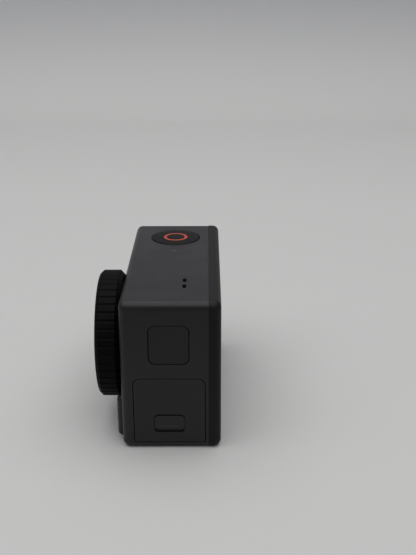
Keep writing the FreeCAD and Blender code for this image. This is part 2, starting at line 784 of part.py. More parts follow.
BARREL_FRONT = "front_y - barrel_front"
BARREL_REAR = "front_y - barrel_front + barrel_length"
barrel = node("lens_barrel")
turned(barrel, LENS, "Y", [
    (BARREL_FRONT, "barrel_bore"), (BARREL_FRONT, "barrel_radius"), (BARREL_REAR, "barrel_radius"),
    (BARREL_REAR, "sensor_window"), (BARREL_REAR + " - barrel_throat", "sensor_window"),
    (BARREL_REAR + " - barrel_throat - barrel_taper", "barrel_narrow"),
    (BARREL_FRONT + " + barrel_step_front + barrel_step_slope", "barrel_narrow"),
    (BARREL_FRONT + " + barrel_step_front", "barrel_bore")])
RETAINER_REAR = BARREL_FRONT + " + retainer_length"
retainer = node("lens_retaining_ring")
turned(retainer, LENS, "Y", [
    (BARREL_FRONT + " - retainer_out", "barrel_bore - retainer_wall + retainer_chamfer"),
    (BARREL_FRONT + " - retainer_out", "barrel_bore"),
    (RETAINER_REAR, "barrel_bore"), (RETAINER_REAR, "barrel_bore - retainer_wall")])
front_element = node("front_lens_element")
ELEMENT_REAR = RETAINER_REAR + " + element_thickness"
turned(front_element, LENS, "Y", [
    (RETAINER_REAR + " - element_crown", "0"), (ELEMENT_REAR + " + element_rear_crown", "0"),
    (ELEMENT_REAR + " + element_rear_step", "barrel_bore - element_rear_inset"),
    (ELEMENT_REAR, "barrel_bore"), (RETAINER_REAR, "barrel_bore"),
    (RETAINER_REAR, "barrel_bore - retainer_wall - element_rim_inset"),
    (RETAINER_REAR + " - element_crown + element_crown_step", "barrel_bore - element_crown_inset")])
rear_element = node("rear_lens_element")
REAR_ELEMENT = BARREL_FRONT + " + rear_element_front"
REAR_ELEMENT_END = REAR_ELEMENT + " + rear_element_length"
turned(rear_element, LENS, "Y", [
    (REAR_ELEMENT, "0"), (REAR_ELEMENT_END, "0"),
    (REAR_ELEMENT_END + " - rear_element_rear_crown", "barrel_narrow"),
    (REAR_ELEMENT + " + rear_element_front_crown", "barrel_narrow")])
SEAL_FRONT = "front_y - mount_seal_out"
SEAL_REAR = SEAL_FRONT + " + mount_seal_length"
turned(node("lens_barrel_seal"), LENS, "Y", [
    (SEAL_FRONT, "barrel_radius"), (SEAL_FRONT, "mount_inner_radius"),
    (SEAL_REAR, "mount_inner_radius"), (SEAL_REAR, "barrel_radius")])


def square(side_length):
    return (about(LENS[0], side_length), about(LENS[1], side_length))


SENSOR_FRONT = BARREL_REAR + " + sensor_gap"
SENSOR_REAR = SENSOR_FRONT + " + sensor_thickness"
solid("image_sensor", "XZ", (SENSOR_FRONT, SENSOR_REAR), square("sensor_side"))
solid("sensor_board", "XZ", (SENSOR_REAR, SENSOR_REAR + " + board_thickness"), square("sensor_board_side"))
solid("heat_spreader", "XZ", (SENSOR_REAR + " + board_thickness", "board_y - spreader_gap"),
      square("spreader_side"))

# ---------------------------------------------------------------- shutter button
SHUTTER = ("shutter_x", "shutter_y")
shutter = node("shutter_button")
CAP_TOP = "shutter_top + shutter_dome"
turned(shutter, SHUTTER, "Z", [
    ("shutter_foot", "plunger_radius + plunger_root"),
    ("shutter_foot", "shutter_radius + shutter_flange_reach"),
    ("shutter_foot + shutter_flange", "shutter_radius + shutter_flange_reach"),
    ("shutter_foot + shutter_flange", "shutter_radius"),
    ("shutter_top - shutter_skirt_drop", "shutter_radius"),
    ("shutter_top - shutter_bevel_drop", "shutter_radius - shutter_bevel_in"),
    ("shutter_top", "shutter_radius - shutter_bevel"),
    ("shutter_top + shutter_dome_mid", "shutter_radius - shutter_dome_inset"),
    (CAP_TOP, "ring_outer_radius"),
    (CAP_TOP + " - ring_depth", "ring_outer_radius"), (CAP_TOP + " - ring_depth", "ring_inner_radius"),
    (CAP_TOP, "ring_inner_radius"), (CAP_TOP, "0"), ("plunger_foot", "0"),
    ("plunger_foot", "plunger_radius"),
    ("shutter_foot + plunger_root", "plunger_radius"),
    ("shutter_foot + plunger_root", "plunger_radius + plunger_root")])
turned(node("shutter_ring"), SHUTTER, "Z", [
    (CAP_TOP + " - ring_depth", "ring_inner_radius"), (CAP_TOP + " - ring_depth", "ring_outer_radius"),
    (CAP_TOP, "ring_outer_radius"), (CAP_TOP, "ring_inner_radius")])
SWITCH_TOP = "plunger_foot - shutter_travel - seat_clearance"
SWITCH_FOOT = SWITCH_TOP + " - switch_top"
shutter_switch = node("shutter_switch")
pad(shutter_switch, "XY", (SWITCH_FOOT, SWITCH_TOP),
    (about(SHUTTER[0], "switch_side"), about(SHUTTER[1], "switch_side")))
pad(shutter_switch, "XY", (SWITCH_FOOT + " - switch_base", SWITCH_FOOT),
    (about(SHUTTER[0], "shutter_board_width"), about(SHUTTER[1], "shutter_board_depth")))

# ---------------------------------------------------------------- quick-switch button

def quick(extra):
    return (about("quick_y", "quick_width", extra), about("quick_z", "quick_height", extra),
            f"quick_corner + ({extra})")


quick_button = node("quick_switch_button")
pad(quick_button, "YZ", ("quick_foot + quick_flange - overlap", "side_x"), quick("0"))
fillet(quick_button, "quick_edge", on_plane("X", "side_x"))
pad(quick_button, "YZ", ("quick_foot", "quick_foot + quick_flange"), quick("quick_flange_reach"))
quick_switch = node("quick_switch_switch")
QUICK_SWITCH = "quick_foot - quick_travel - seat_clearance"
QUICK_SWITCH_FOOT = QUICK_SWITCH + " - switch_top"
pad(quick_switch, "YZ", (QUICK_SWITCH_FOOT, QUICK_SWITCH),
    (about("quick_y", "switch_side"), about("quick_z", "switch_side")))
pad(quick_switch, "YZ", (QUICK_SWITCH_FOOT + " - switch_base", QUICK_SWITCH_FOOT),
    (about("quick_y", "quick_board_width"), about("quick_z", "quick_board_height")))

# ---------------------------------------------------------------- doors, their latches, pins and seals
for name, door in DOORS.items():
    side, low, high, hinge = door["side"], door["low"], door["high"], door["hinge"]
    # the door's outer face is cut from the housing's own outline, so that it follows the rounded edges
    body = node(f"{name}_door")
    pad(body, "XZ", DOOR_Y, (("-side_x", "side_x"), ("0", "housing_top"), "corner_radius"))
    pocket(body, "YZ", sided(side, ("-side_x - overshoot", "door_inner_x")),
           (("door_front_y - overshoot", "door_back_y + overshoot"),
            ("-overshoot", "body_height + overshoot")))
    keep = (DOOR_Y, (low, high), "door_low_corner", "door_high_corner")
    pocket(body, "YZ", sided(side, ("door_inner_x - overshoot", "side_x + overshoot")),
           (("door_front_y - overshoot", "door_back_y + overshoot"),
            ("-overshoot", "body_height + overshoot")), keep)
    pocket(body, "XZ", ("door_front_y - overshoot", "door_back_y + overshoot"),
           ("round", signed(side, "hinge_x"), hinge, HOLE))
    recess = (f"{low} + latch_recess_low", f"{low} + latch_recess_low + latch_recess_height")
    pocket(body, "YZ", sided(side, ("side_x - latch_recess_depth", "side_x + overshoot")),
           (about("latch_y", "latch_recess_width"), recess, "latch_corner"))
    stem_low = f"{low} + latch_recess_low + thumb_lift + stem_lift"
    pocket(body, "YZ", sided(side, ("door_inner_x - overshoot", "side_x")),
           (about("latch_y", "latch_stem_width", "latch_side_gap"),
            (f"{stem_low} - latch_travel - latch_side_gap",
             f"{stem_low} + latch_stem_height + latch_side_gap")))

    latch = node(f"{name}_door_latch")
    thumb_low = f"{low} + latch_recess_low + thumb_lift"
    thumb = (about("latch_y", "latch_recess_width", "-latch_side_gap"),
             (thumb_low, f"{thumb_low} + thumb_height"))
    pad(latch, "YZ", sided(side, ("side_x - latch_recess_depth + thumb_back_gap", "side_x - thumb_inset")),
        (*thumb, "latch_corner - latch_side_gap"))
    pad(latch, "YZ", sided(side, ("side_x - thumb_root", "side_x - thumb_inset + ridge_proud")),
        (about("latch_y", "latch_recess_width", "-latch_corner"),
         (f"{thumb_low} + ridge_lift", f"{thumb_low} + ridge_lift + ridge_height"), "ridge_height / 2.1"))
    pad(latch, "YZ", sided(side, ("door_inner_x - seat_clearance - bolt_thickness / 2",
                                  "side_x - latch_recess_depth + thumb_back_gap + overlap")),
        (about("latch_y", "latch_stem_width"), (stem_low, f"{stem_low} + latch_stem_height")))
    pad(latch, "YZ", sided(side,
                           ("door_inner_x - seat_clearance - bolt_thickness",
                            "door_inner_x - seat_clearance")),
        (about("latch_y", "bolt_width"), (f"{low} + bolt_lift", f"{low} + bolt_lift + bolt_height")))

    solid(f"{name}_door_hinge_pin", "XZ", ("bay_front_y - hinge_pin_depth", "seam_y"),
          ("round", signed(side, "hinge_x"), hinge, "hinge_pin_radius"))

    seal = node(f"{name}_door_seal")
    seal_span = sided(side, ("door_inner_x - seal_thickness", "door_inner_x"))
    seal_z = (f"{low} + seal_margin", f"{hinge} - seal_hinge_gap")
    pad(seal, "YZ", seal_span,
        (("door_front_y + seal_margin", "door_back_y - seal_margin"), seal_z, "seal_corner"))
    pocket(seal, "YZ", sided(side,
                             ("door_inner_x - seal_thickness - overshoot", "door_inner_x + overshoot")),
           (("door_front_y + seal_margin + seal_width", "door_back_y - seal_margin - seal_width"),
            (f"{low} + seal_margin + seal_width", f"{hinge} - seal_hinge_gap - seal_width"),
            "seal_inner_corner"))
    pocket(seal, "YZ", sided(side,
                             ("door_inner_x - seal_thickness - overshoot", "door_inner_x + overshoot")),
           (about("latch_y", "bolt_width", "seal_bolt_gap"),
            (low, f"{low} + seal_margin + seal_bolt_notch")))

# ---------------------------------------------------------------- battery, its cradle, contacts and the card
battery = node("battery_pack")
BATTERY = (("battery_front_y", "battery_back_y"), ("battery_low", "battery_high"))
pad(battery, "YZ", mirrored(("battery_inner_x", "battery_outer_x")), (*BATTERY, "battery_edge"))
BATTERY_MIDDLE = ("battery_front_y + battery_depth / 2", "battery_low + battery_height / 2")
solid("battery_pull_tab", "YZ", mirrored(("battery_outer_x", "battery_outer_x + tab_thickness")),
      (about(BATTERY_MIDDLE[0], "tab_width"), about(BATTERY_MIDDLE[1], "tab_height"), "tab_corner"))
cradle = node("battery_cradle")
CRADLE_END = "battery_inner_x - cradle_contact_gap - cradle_end"
pad(cradle, "YZ", mirrored((CRADLE_END, "bay_x - bay_wall")),
    (("battery_front_y - seat_clearance - cradle_wall",
      "battery_back_y + seat_clearance + cradle_wall - socket_wall"),
     ("battery_low - seat_clearance - cradle_wall", "battery_high + seat_clearance + cradle_wall"),
     "cradle_corner"))
pocket(cradle, "YZ", mirrored((CRADLE_END + " + cradle_end", "bay_x - bay_wall + overshoot")),
       (about(BATTERY_MIDDLE[0], "battery_depth", "seat_clearance"),
        about(BATTERY_MIDDLE[1], "battery_height", "seat_clearance")))
contacts = node("battery_contacts")
for number in range(3):
    pad(contacts, "YZ", mirrored((CRADLE_END + " + cradle_end", "battery_inner_x")),
        (about(BATTERY_MIDDLE[0], "contact_width"),
         about(f"battery_low + contact_first + {number} * contact_pitch", "contact_height")))
CARD_OUTER = "side_x - card_inset"
solid("memory_card", "YZ", mirrored((CARD_OUTER + " - card_length", CARD_OUTER)),
      (("card_y", "card_y + card_thickness"), ("card_low", "card_high")))
socket = node("memory_card_socket")
SOCKET_REAR = CARD_OUTER + " - card_length - card_push - socket_gap"
pad(socket, "YZ", mirrored((SOCKET_REAR, "bay_x - bay_wall - socket_wall")),
    (("card_y - seat_clearance - socket_wall", "board_y"),
     ("card_low - socket_side", "card_high + socket_side")))
pocket(socket, "YZ", mirrored((SOCKET_REAR + " + socket_end", "bay_x")),
       (("card_y - seat_clearance", "card_y + card_thickness + seat_clearance"),
        ("card_low - seat_clearance", "card_high + seat_clearance")))

# ---------------------------------------------------------------- boards, USB receptacle, sound and lights
board = node("main_circuit_board")
BOARD_X = ("-(bay_x - bay_wall - board_side_gap)", "bay_x - bay_wall - board_side_gap")
pad(board, "XZ", ("board_y", "board_y + board_thickness"),
    (BOARD_X, ("base_wall + board_low_gap", "inner_top - board_top_gap"), "board_corner"))
solid("processor", "XZ", ("board_y + board_thickness", "board_y + board_thickness + chip_thickness"),
      (about("chip_x", "chip_side"), about("chip_z", "chip_side"), "chip_corner"))
usb = node("usb_receptacle")
USB_REAR = "bay_x - usb_length"
pad(usb, "YZ", (USB_REAR, "bay_x"),
    (about("latch_y", "usb_height + 2 * usb_shell"), about("usb_z", "usb_width + 2 * usb_shell"),
     "usb_height / 2"))
pocket(usb, "YZ", (USB_REAR + " + usb_back", "bay_x + overshoot"),
       (about("latch_y", "usb_height"), about("usb_z", "usb_width"), "usb_height / 2.05"))
pad(usb, "YZ", (USB_REAR + " + usb_back - overlap", "bay_x - tongue_inset"),
    (about("latch_y", "tongue_thickness"), about("usb_z", "tongue_width")))
USB_BACK = "latch_y + usb_height / 2 + usb_shell"
solid("usb_board", "XZ", (USB_BACK, USB_BACK + " + usb_board_thickness"),
      ((USB_REAR + " - usb_board_end", "bay_x - bay_wall - seat_clearance"),
       about("usb_z", "usb_board_height")))
top_microphones = node("top_microphones")
for slot in ("mic_slot_x1", "mic_slot_x2"):
    pad(top_microphones, "XY", ("inner_top - mic_part_height", "inner_top"),
        (about(slot, "mic_part_length"), about("mic_slot_y", "mic_part_width")))
pod = node("front_microphone_cover")
pad(pod, "XZ", ("front_y - pod_proud", "front_y + pod_root"), POD)
fillet(pod, "pod_edge", on_plane("Y", "front_y - pod_proud"))
for place in ("pod_low + pod_hole_inset", "(pod_low + pod_high) / 2", "pod_high - pod_hole_inset"):
    pocket(pod, "XZ", ("front_y - pod_proud - overshoot", "front_y + pod_hole_root"),
           ("round", "pod_x", place, "pod_hole_radius"))
grille = solid("speaker_grille", "XY", ("0", "grille_thickness"), ("round", *GRILLE, "grille_radius"))
HOLES = [(f"grille_x + {ring} * grille_pitch * cos({angle})",
          f"grille_y + {ring} * grille_pitch * sin({angle})")
         for ring, count in ((0, 1), (1, 6), (2, 12)) for angle in range(0, 360, 360 // count)]
pocket(grille, "XY", ("-overshoot", "grille_thickness + overshoot"),
       *[("round", x, y, "grille_hole") for x, y in HOLES])
MAGNET_LOW = "base_wall + speaker_rise"
turned(node("speaker"), GRILLE, "Z", [
    ("speaker_low", "0"), ("speaker_low", "speaker_radius"), (MAGNET_LOW, "speaker_radius"),
    (MAGNET_LOW, "speaker_magnet"), (MAGNET_LOW + " + speaker_rise", "speaker_magnet"),
    (MAGNET_LOW + " + speaker_rise", "0")])
solid("front_status_light", "XZ", ("front_y", "front_y + light_length"), FRONT_LIGHT)
solid("top_status_light", "XY", ("housing_top - light_length", "housing_top"), TOP_LIGHT)

# ---------------------------------------------------------------- base plate for the quick-release mount
base_plate = node("base_plate")
pad(base_plate, "XY", ("0", "plate_thickness"),
    (about("0", "plate_width"), about("plate_y", "plate_depth"), "plate_corner"))
NOTCHES = ("-notch_spacing / 2", "notch_spacing / 2")
for place in NOTCHES:
    pocket(base_plate, "XY", ("-overshoot", "plate_thickness - notch_floor"),
           (about(place, "notch_width"), about("plate_y", "notch_depth"), "notch_corner"))
pocket(base_plate, "XY", ("-overshoot", "plate_thickness + overshoot"),
       *[("round", x, y, "screw_radius + screw_recess") for x, y in SCREWS])
pocket(base_plate, "XY", ("-overshoot", "screw_head"),
       *[("round", x, y, "screw_head_radius + screw_recess") for x, y in SCREWS])
screws = node("base_screws")
for x, y in SCREWS:
    turned(screws, (x, y), "Z", [
        ("screw_recess", "screw_slot"), ("screw_recess", "screw_head_radius"),
        ("screw_head", "screw_head_radius"),
        ("screw_head", "screw_radius"), ("base_wall", "screw_radius"), ("base_wall", "0"),
        ("screw_recess + screw_slot_depth", "0"), ("screw_recess + screw_slot_depth", "screw_slot")])


# ---------------------------------------------------------------- check and write
doc.recompute()
for item in doc.Objects:
    if {"Invalid", "Error"} & set(item.State):
        raise RuntimeError(f"{item.Label} failed: {item.State}")
os.makedirs("parts", exist_ok=True)
for item in nodes:
    shape = item.Shape
    if shape.isNull() or not shape.isValid() or shape.Volume <= 0:
        raise RuntimeError(f"{item.Label}: the shape is not sound")
    shape.exportStep(f"parts/{item.Label}.step")
print(f"{len(nodes)} sub-parts written")
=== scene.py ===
"""The looks of an action camera, worked out around its construction model.

Every surface is in metres, in the construction model's own frame: +Z up, the lens towards -Y, the rear
screen towards +Y and the button side towards +X. Small lengths are written in millimetres times MM.
"""

import math

import bmesh
import bpy
import numpy as np
from bpy.props import FloatProperty, FloatVectorProperty, IntProperty, PointerProperty
from bpy.types import Operator, Panel, PropertyGroup
from mathutils import Matrix, Vector


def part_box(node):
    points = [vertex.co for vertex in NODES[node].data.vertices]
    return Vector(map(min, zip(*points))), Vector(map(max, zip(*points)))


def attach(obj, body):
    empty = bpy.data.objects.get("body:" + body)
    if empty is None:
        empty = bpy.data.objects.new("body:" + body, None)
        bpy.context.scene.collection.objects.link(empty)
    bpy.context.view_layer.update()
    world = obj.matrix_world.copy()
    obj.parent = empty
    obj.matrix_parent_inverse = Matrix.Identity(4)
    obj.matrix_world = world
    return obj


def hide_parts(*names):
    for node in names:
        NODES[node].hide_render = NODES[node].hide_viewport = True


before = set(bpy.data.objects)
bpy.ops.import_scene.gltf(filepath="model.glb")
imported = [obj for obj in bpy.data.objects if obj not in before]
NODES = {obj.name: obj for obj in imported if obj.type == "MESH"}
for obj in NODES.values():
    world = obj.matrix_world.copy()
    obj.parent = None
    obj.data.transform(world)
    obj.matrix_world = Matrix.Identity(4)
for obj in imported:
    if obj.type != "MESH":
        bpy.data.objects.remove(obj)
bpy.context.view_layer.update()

bl_info = {
    "name": "Action Camera Looks",
    "version": (1, 0, 0),
    "blender": (4, 5, 0),
    "location": "View3D > Sidebar > Camera",
    "description": "Finishes and fine pieces for a small action camera, with its studio stage",
    "category": "Object",
}

MM = 0.001


def centre_of(node):
    """The middle of a construction node's box."""
    low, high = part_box(node)
    return (low + high) / 2


RING_LOW, RING_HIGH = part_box("lens_cover_ring")
LENS_CENTRE = centre_of("lens_cover_ring")
RING_RADIUS = (RING_HIGH.x - RING_LOW.x) / 2
SHUTTER_CENTRE = centre_of("shutter_button")


# ------------------------------------------------------------------ settings
def colour(name, description, default):
    return FloatVectorProperty(name=name, description=description, default=default, subtype="COLOR",
                               size=3, min=0.0, max=1.0)


def length(name, description, default_mm):
    return FloatProperty(name=name, description=description, default=default_mm * MM, subtype="DISTANCE",
                         unit="LENGTH", precision=5)


class ActionCameraColours(PropertyGroup):
    """Base colours of the finishes, linear."""
    housing: colour("Housing", "Moulded body, doors and side button", (0.0158, 0.0154, 0.0175))
    rear_frame: colour("Rear frame", "Frame around the rear screen", (0.0095, 0.0092, 0.0104))
    cover: colour("Lens cover", "Knurled ring that holds the cover glass", (0.0030, 0.0030, 0.0034))
    button: colour("Button", "Shutter button's cap", (0.0040, 0.0038, 0.0046))
    ring: colour("Ring", "Bright ring in the shutter button", (0.54, 0.076, 0.030))
    rubber: colour("Rubber", "Seals and gaskets", (0.020, 0.020, 0.021))
    metal: colour("Anodised metal", "Lens mount and base plate", (0.045, 0.045, 0.050))
    steel: colour("Steel", "Pins, screws and shells", (0.56, 0.56, 0.58))
    gold: colour("Plating", "Battery contacts", (0.83, 0.62, 0.29))
    copper: colour("Copper", "Heat spreader", (0.70, 0.36, 0.22))
    board: colour("Solder mask", "Circuit boards", (0.008, 0.045, 0.026))
    floor: colour("Floor", "Studio floor", (0.570, 0.567, 0.561))
    wall: colour("Backdrop", "Studio backdrop", (0.470, 0.473, 0.488))


class ActionCameraShapes(PropertyGroup):
    """Sizes of the fine pieces."""
    groove_count: IntProperty(name="Grooves", description="Grooves round the lens cover", default=48, min=12)
    groove_depth: length("Groove depth", "Depth of a groove in the lens cover's edge", 0.30)
    groove_share: FloatProperty(name="Groove width", description="Share of the pitch that a groove takes",
                                default=0.30, min=0.1, max=0.6, subtype="FACTOR")
    button_radius: length("Button radius", "Outer radius of the shutter button's cap", 7.66)
    button_dome: length("Button dome", "Rise of the cap's top from its rim to its middle", 0.20)
    ring_outer: length("Ring outer radius", "Outer radius of the bright ring", 3.85)
    ring_inner: length("Ring inner radius", "Inner radius of the bright ring", 2.90)
    glass_radius: length("Cover glass radius", "Radius of the lens cover's glass", 14.2)


class ActionCameraStage(PropertyGroup):
    """Lights and the viewpoint."""
    focal: FloatProperty(name="Focal length", description="Lens of the view, in millimetres", default=54.41)
    tilt: FloatProperty(name="Tilt", description="Downward tilt of the view", default=0.3616, subtype="ANGLE",
                        unit="ROTATION")
    yaw: FloatProperty(name="Yaw", description="Turn of the view about the vertical", default=-0.0007,
                       subtype="ANGLE", unit="ROTATION")
    roll: FloatProperty(name="Roll", description="Turn of the view about its own axis", default=-0.0015,
                        subtype="ANGLE", unit="ROTATION")
    place: FloatVectorProperty(name="Place", description="Where the view is taken from", size=3,
                               default=(0.2386, 0.0136, 0.1282), subtype="XYZ", unit="LENGTH", precision=4)
    world: FloatProperty(name="World light", description="Strength of the even surrounding light",
                         default=0.20)
    top: FloatProperty(name="Top light", description="Power of the large softbox overhead", default=9.2)
    side: FloatProperty(name="Side light", description="Power of the softbox beside the lens", default=0.2)


# ------------------------------------------------------------------ shader groups
class Graph:
    """A node tree with short calls for adding nodes and links."""

    def __init__(self, tree):
        self.tree = tree
        self.column = 0

    def add(self, kind, values=None, **settings):
        made = self.tree.nodes.new("ShaderNode" + kind)
        self.column += 1
        made.location = (self.column * 180, -(self.column % 4) * 120)
        for name, setting in settings.items():
            setattr(made, name, setting)
        for name, entry in (values or {}).items():
            self.feed(made.inputs[name], entry)
        return made

    def feed(self, place, entry):
        """Links an input to an output, or sets it to a constant."""
        if isinstance(entry, bpy.types.NodeSocket):
            self.tree.links.new(entry, place)
        elif place.type == "RGBA":
            place.default_value = (*entry[:3], 1.0)
        else:
            place.default_value = entry

    def math(self, operation, first, second=0.0, third=0.0):
        return self.add("Math", {0: first, 1: second, 2: third}, operation=operation).outputs[0]

    def ramp(self, value, low, high, to_low=0.0, to_high=1.0, smooth=False):
        """A value carried from one range to another, held at both ends."""
        made = self.add("MapRange", {"Value": value, "From Min": low, "From Max": high,
                                     "To Min": to_low, "To Max": to_high},
                        interpolation_type="SMOOTHSTEP" if smooth else "LINEAR")
        return made.outputs["Result"]

    def blend(self, factor, first, second):
        return self.add("Mix", {0: factor, 6: first, 7: second}, data_type="RGBA").outputs[2]


class Group(Graph):
    """A shader group: its inputs come with their defaults, and close links its outputs."""

    def __init__(self, name, inputs, outputs):
        super().__init__(bpy.data.node_groups.new(name, "ShaderNodeTree"))
        for side, sockets in (("INPUT", inputs), ("OUTPUT", outputs)):
            for socket_name, kind, *default in sockets:
                made = self.tree.interface.new_socket(name=socket_name, in_out=side,
                                                      socket_type="NodeSocket" + kind)
                if default:
                    made.default_value = default[0]
        self.given = self.tree.nodes.new("NodeGroupInput").outputs
        self.results = self.tree.nodes.new("NodeGroupOutput").inputs

    def close(self, **results):
        for name, result in results.items():
            self.tree.links.new(result, self.results[name])
        return self.tree


def grain_group():
    """Moulded grain: fine noise under rounder cells, as a height and a speckle mask."""
    graph = Group("moulded grain", [("Vector", "Vector"), ("Scale", "Float", 3000.0)],
                  [("Height", "Float"), ("Speckle", "Float")])
    vector, scale = graph.given["Vector"], graph.given["Scale"]
    fine = graph.add("TexNoise", {"Vector": vector, "Scale": scale, "Detail": 3.0, "Roughness": 0.6})
    cells = graph.add("TexVoronoi", {"Vector": vector, "Scale": scale}, feature="SMOOTH_F1")
    half = graph.math("MULTIPLY", cells.outputs["Distance"], 0.5)
    height = graph.math("ADD", fine.outputs["Fac"], half)
    speckle = graph.ramp(fine.outputs["Fac"], 0.35, 0.65)
    return graph.close(Height=height, Speckle=speckle)


def edge_group():
    """Rounded edges: a normal that rolls over each edge, and a mask that is bright along it."""
    graph = Group("rounded edge", [("Radius", "Float", 0.0002)], [("Normal", "Vector"), ("Edge", "Float")])
    bevel = graph.add("Bevel", {"Radius": graph.given["Radius"]}, samples=6)
    flat = graph.add("NewGeometry")
    dot = graph.add("VectorMath", {0: bevel.outputs[0], 1: flat.outputs["Normal"]}, operation="DOT_PRODUCT")
    edge = graph.ramp(dot.outputs["Value"], 0.995, 0.80, smooth=True)
    return graph.close(Normal=bevel.outputs[0], Edge=edge)


def handling_group():
    """Traces of handling: broad soft patches and faint fine rubs."""
    graph = Group("handling", [("Vector", "Vector"), ("Scale", "Float", 90.0)],
                  [("Patch", "Float"), ("Rub", "Float")])
    vector, scale = graph.given["Vector"], graph.given["Scale"]
    broad = graph.add("TexNoise", {"Vector": vector, "Scale": scale, "Detail": 2.0, "Distortion": 0.6})
    stretched = graph.add("Mapping", {"Vector": vector, "Scale": (1.0, 7.0, 1.6),
                                      "Rotation": (0.3, 0.5, 0.9)}).outputs[0]
    finer = graph.math("MULTIPLY", scale, 9.0)
    lines = graph.add("TexNoise", {"Vector": stretched, "Scale": finer, "Detail": 4.0})
    return graph.close(Patch=graph.ramp(broad.outputs["Fac"], 0.35, 0.7, smooth=True),
                       Rub=graph.ramp(lines.outputs["Fac"], 0.60, 0.74))


def spun_group():
    """Turning marks: fine noise of the distance from the Z axis of the vector given."""
    graph = Group("turning marks", [("Vector", "Vector"), ("Scale", "Float", 9000.0)], [("Height", "Float")])
    parts = graph.add("SeparateXYZ", {"Vector": graph.given["Vector"]})
    across = graph.math("MULTIPLY", parts.outputs["X"], parts.outputs["X"])
    radius = graph.math("SQRT", graph.math("MULTIPLY_ADD", parts.outputs["Y"], parts.outputs["Y"], across))
    place = graph.math("MULTIPLY", radius, graph.given["Scale"])
    lines = graph.add("TexNoise", {"W": place, "Scale": 1.0, "Detail": 2.0}, noise_dimensions="1D")
    return graph.close(Height=lines.outputs["Fac"])


def window_group():
    """A rectangle seen along Y: 1 inside the half sizes given about the vector's origin, 0 outside."""
    graph = Group("window", [("Vector", "Vector"), ("Half Width", "Float", 0.02),
                             ("Half Height", "Float", 0.01)], [("Mask", "Float")])
    parts = graph.add("SeparateXYZ", {"Vector": graph.given["Vector"]})
    sides = []
    for axis, limit in (("X", "Half Width"), ("Z", "Half Height")):
        reach = graph.math("ABSOLUTE", parts.outputs[axis])
        sides.append(graph.math("LESS_THAN", reach, graph.given[limit]))
    return graph.close(Mask=graph.math("MULTIPLY", *sides))


GROUP_MAKERS = {"grain": grain_group, "edge": edge_group, "handling": handling_group, "spun": spun_group,
                "window": window_group}
groups = {}


class Finish(Graph):
    """A material: a graph that ends in a Principled shader, with the shared groups at hand."""

    def __init__(self, name, **constants):
        self.material = bpy.data.materials.new(name)
        self.material.use_nodes = True
        super().__init__(self.material.node_tree)
        self.shader = self.tree.nodes["Principled BSDF"]
        self.object_coordinates = self.add("TexCoord").outputs["Object"]
        for socket_name, constant in constants.items():
            self.set(socket_name.replace("_", " "), constant)

    def set(self, socket_name, entry):
        self.feed(self.shader.inputs[socket_name], entry)

    def use(self, group_name, **values):
        """The outputs of a shared group. It reads object coordinates unless it is given another Vector."""
        if group_name not in groups:
            groups[group_name] = GROUP_MAKERS[group_name]()
        made = self.add("Group", node_tree=groups[group_name])
        if "Vector" in made.inputs:
            values.setdefault("Vector", self.object_coordinates)
        for name, entry in values.items():
            self.feed(made.inputs[name.replace("_", " ")], entry)
        return made.outputs

    def mapped(self, **values):
        """Object coordinates, stretched or turned."""
        return self.add("Mapping", {"Vector": self.object_coordinates, **values}).outputs[0]

    def about(self, point, rotation=(0, 0, 0)):
        """Object coordinates counted from a point, turned if asked."""
        moved = self.add("VectorMath", {0: self.object_coordinates, 1: tuple(point)}, operation="SUBTRACT")
        turned = self.add("Mapping", {"Vector": moved.outputs[0], "Rotation": rotation})
        return turned.outputs[0]

    def tone(self, mask, base, dark, light):
        """Base colour: two shades of one colour, mixed by a mask."""
        self.set("Base Color", self.blend(mask, shade(base, dark), shade(base, light)))

    def roughen(self, value, at_low, at_high, low=0.0, high=1.0):
        """Roughness that follows a value from low to high."""
        self.set("Roughness", self.ramp(value, low, high, at_low, at_high))

    def bump(self, height, depth_mm, strength, normal=None):
        """Relief of a height, over a normal that is already bent if one is given."""
        values = {"Height": height, "Distance": depth_mm * MM, "Strength": strength}
        if normal is not None:
            values["Normal"] = normal
        self.set("Normal", self.add("Bump", values).outputs["Normal"])


# ------------------------------------------------------------------ finishes
def shade(base, factor):
    """A colour made lighter or darker by a factor."""
    return tuple(min(1.0, part * factor) for part in base)


def moulded(name, base, roughness=0.35, grain_mm=0.16, edge_mm=0.16, edge_sheen_and_rub=0.5):
    """Moulded plastic: fine grain, edges rubbed a little smoother and painted brighter as a sheen, and traces
    of handling.
    """
    finish = Finish(name, IOR=1.48, Specular_IOR_Level=0.29)
    grain = finish.use("grain", Scale=1.0 / (grain_mm * MM))
    edge = finish.use("edge", Radius=edge_mm * MM)
    handling = finish.use("handling", Scale=70.0)
    speckled = finish.blend(grain["Speckle"], shade(base, 0.88), shade(base, 1.12))
    # Painted sheen: along the edges the base colour is lightened towards twice itself, standing for a sheen
    # of light; the same mask makes the edges a little smoother in roughness, as rubbing.
    sheen_and_rub_mask = finish.math("MULTIPLY", edge["Edge"], edge_sheen_and_rub)
    finish.set("Base Color", finish.blend(sheen_and_rub_mask, speckled, shade(base, 2.0)))
    spread = finish.ramp(handling["Patch"], 0.0, 1.0, roughness + 0.05, roughness - 0.04)
    polish = finish.math("MULTIPLY", sheen_and_rub_mask, 0.14)
    finish.set("Roughness", finish.math("SUBTRACT", spread, polish))
    finish.bump(grain["Height"], 0.012, 0.55, edge["Normal"])
    return finish.material


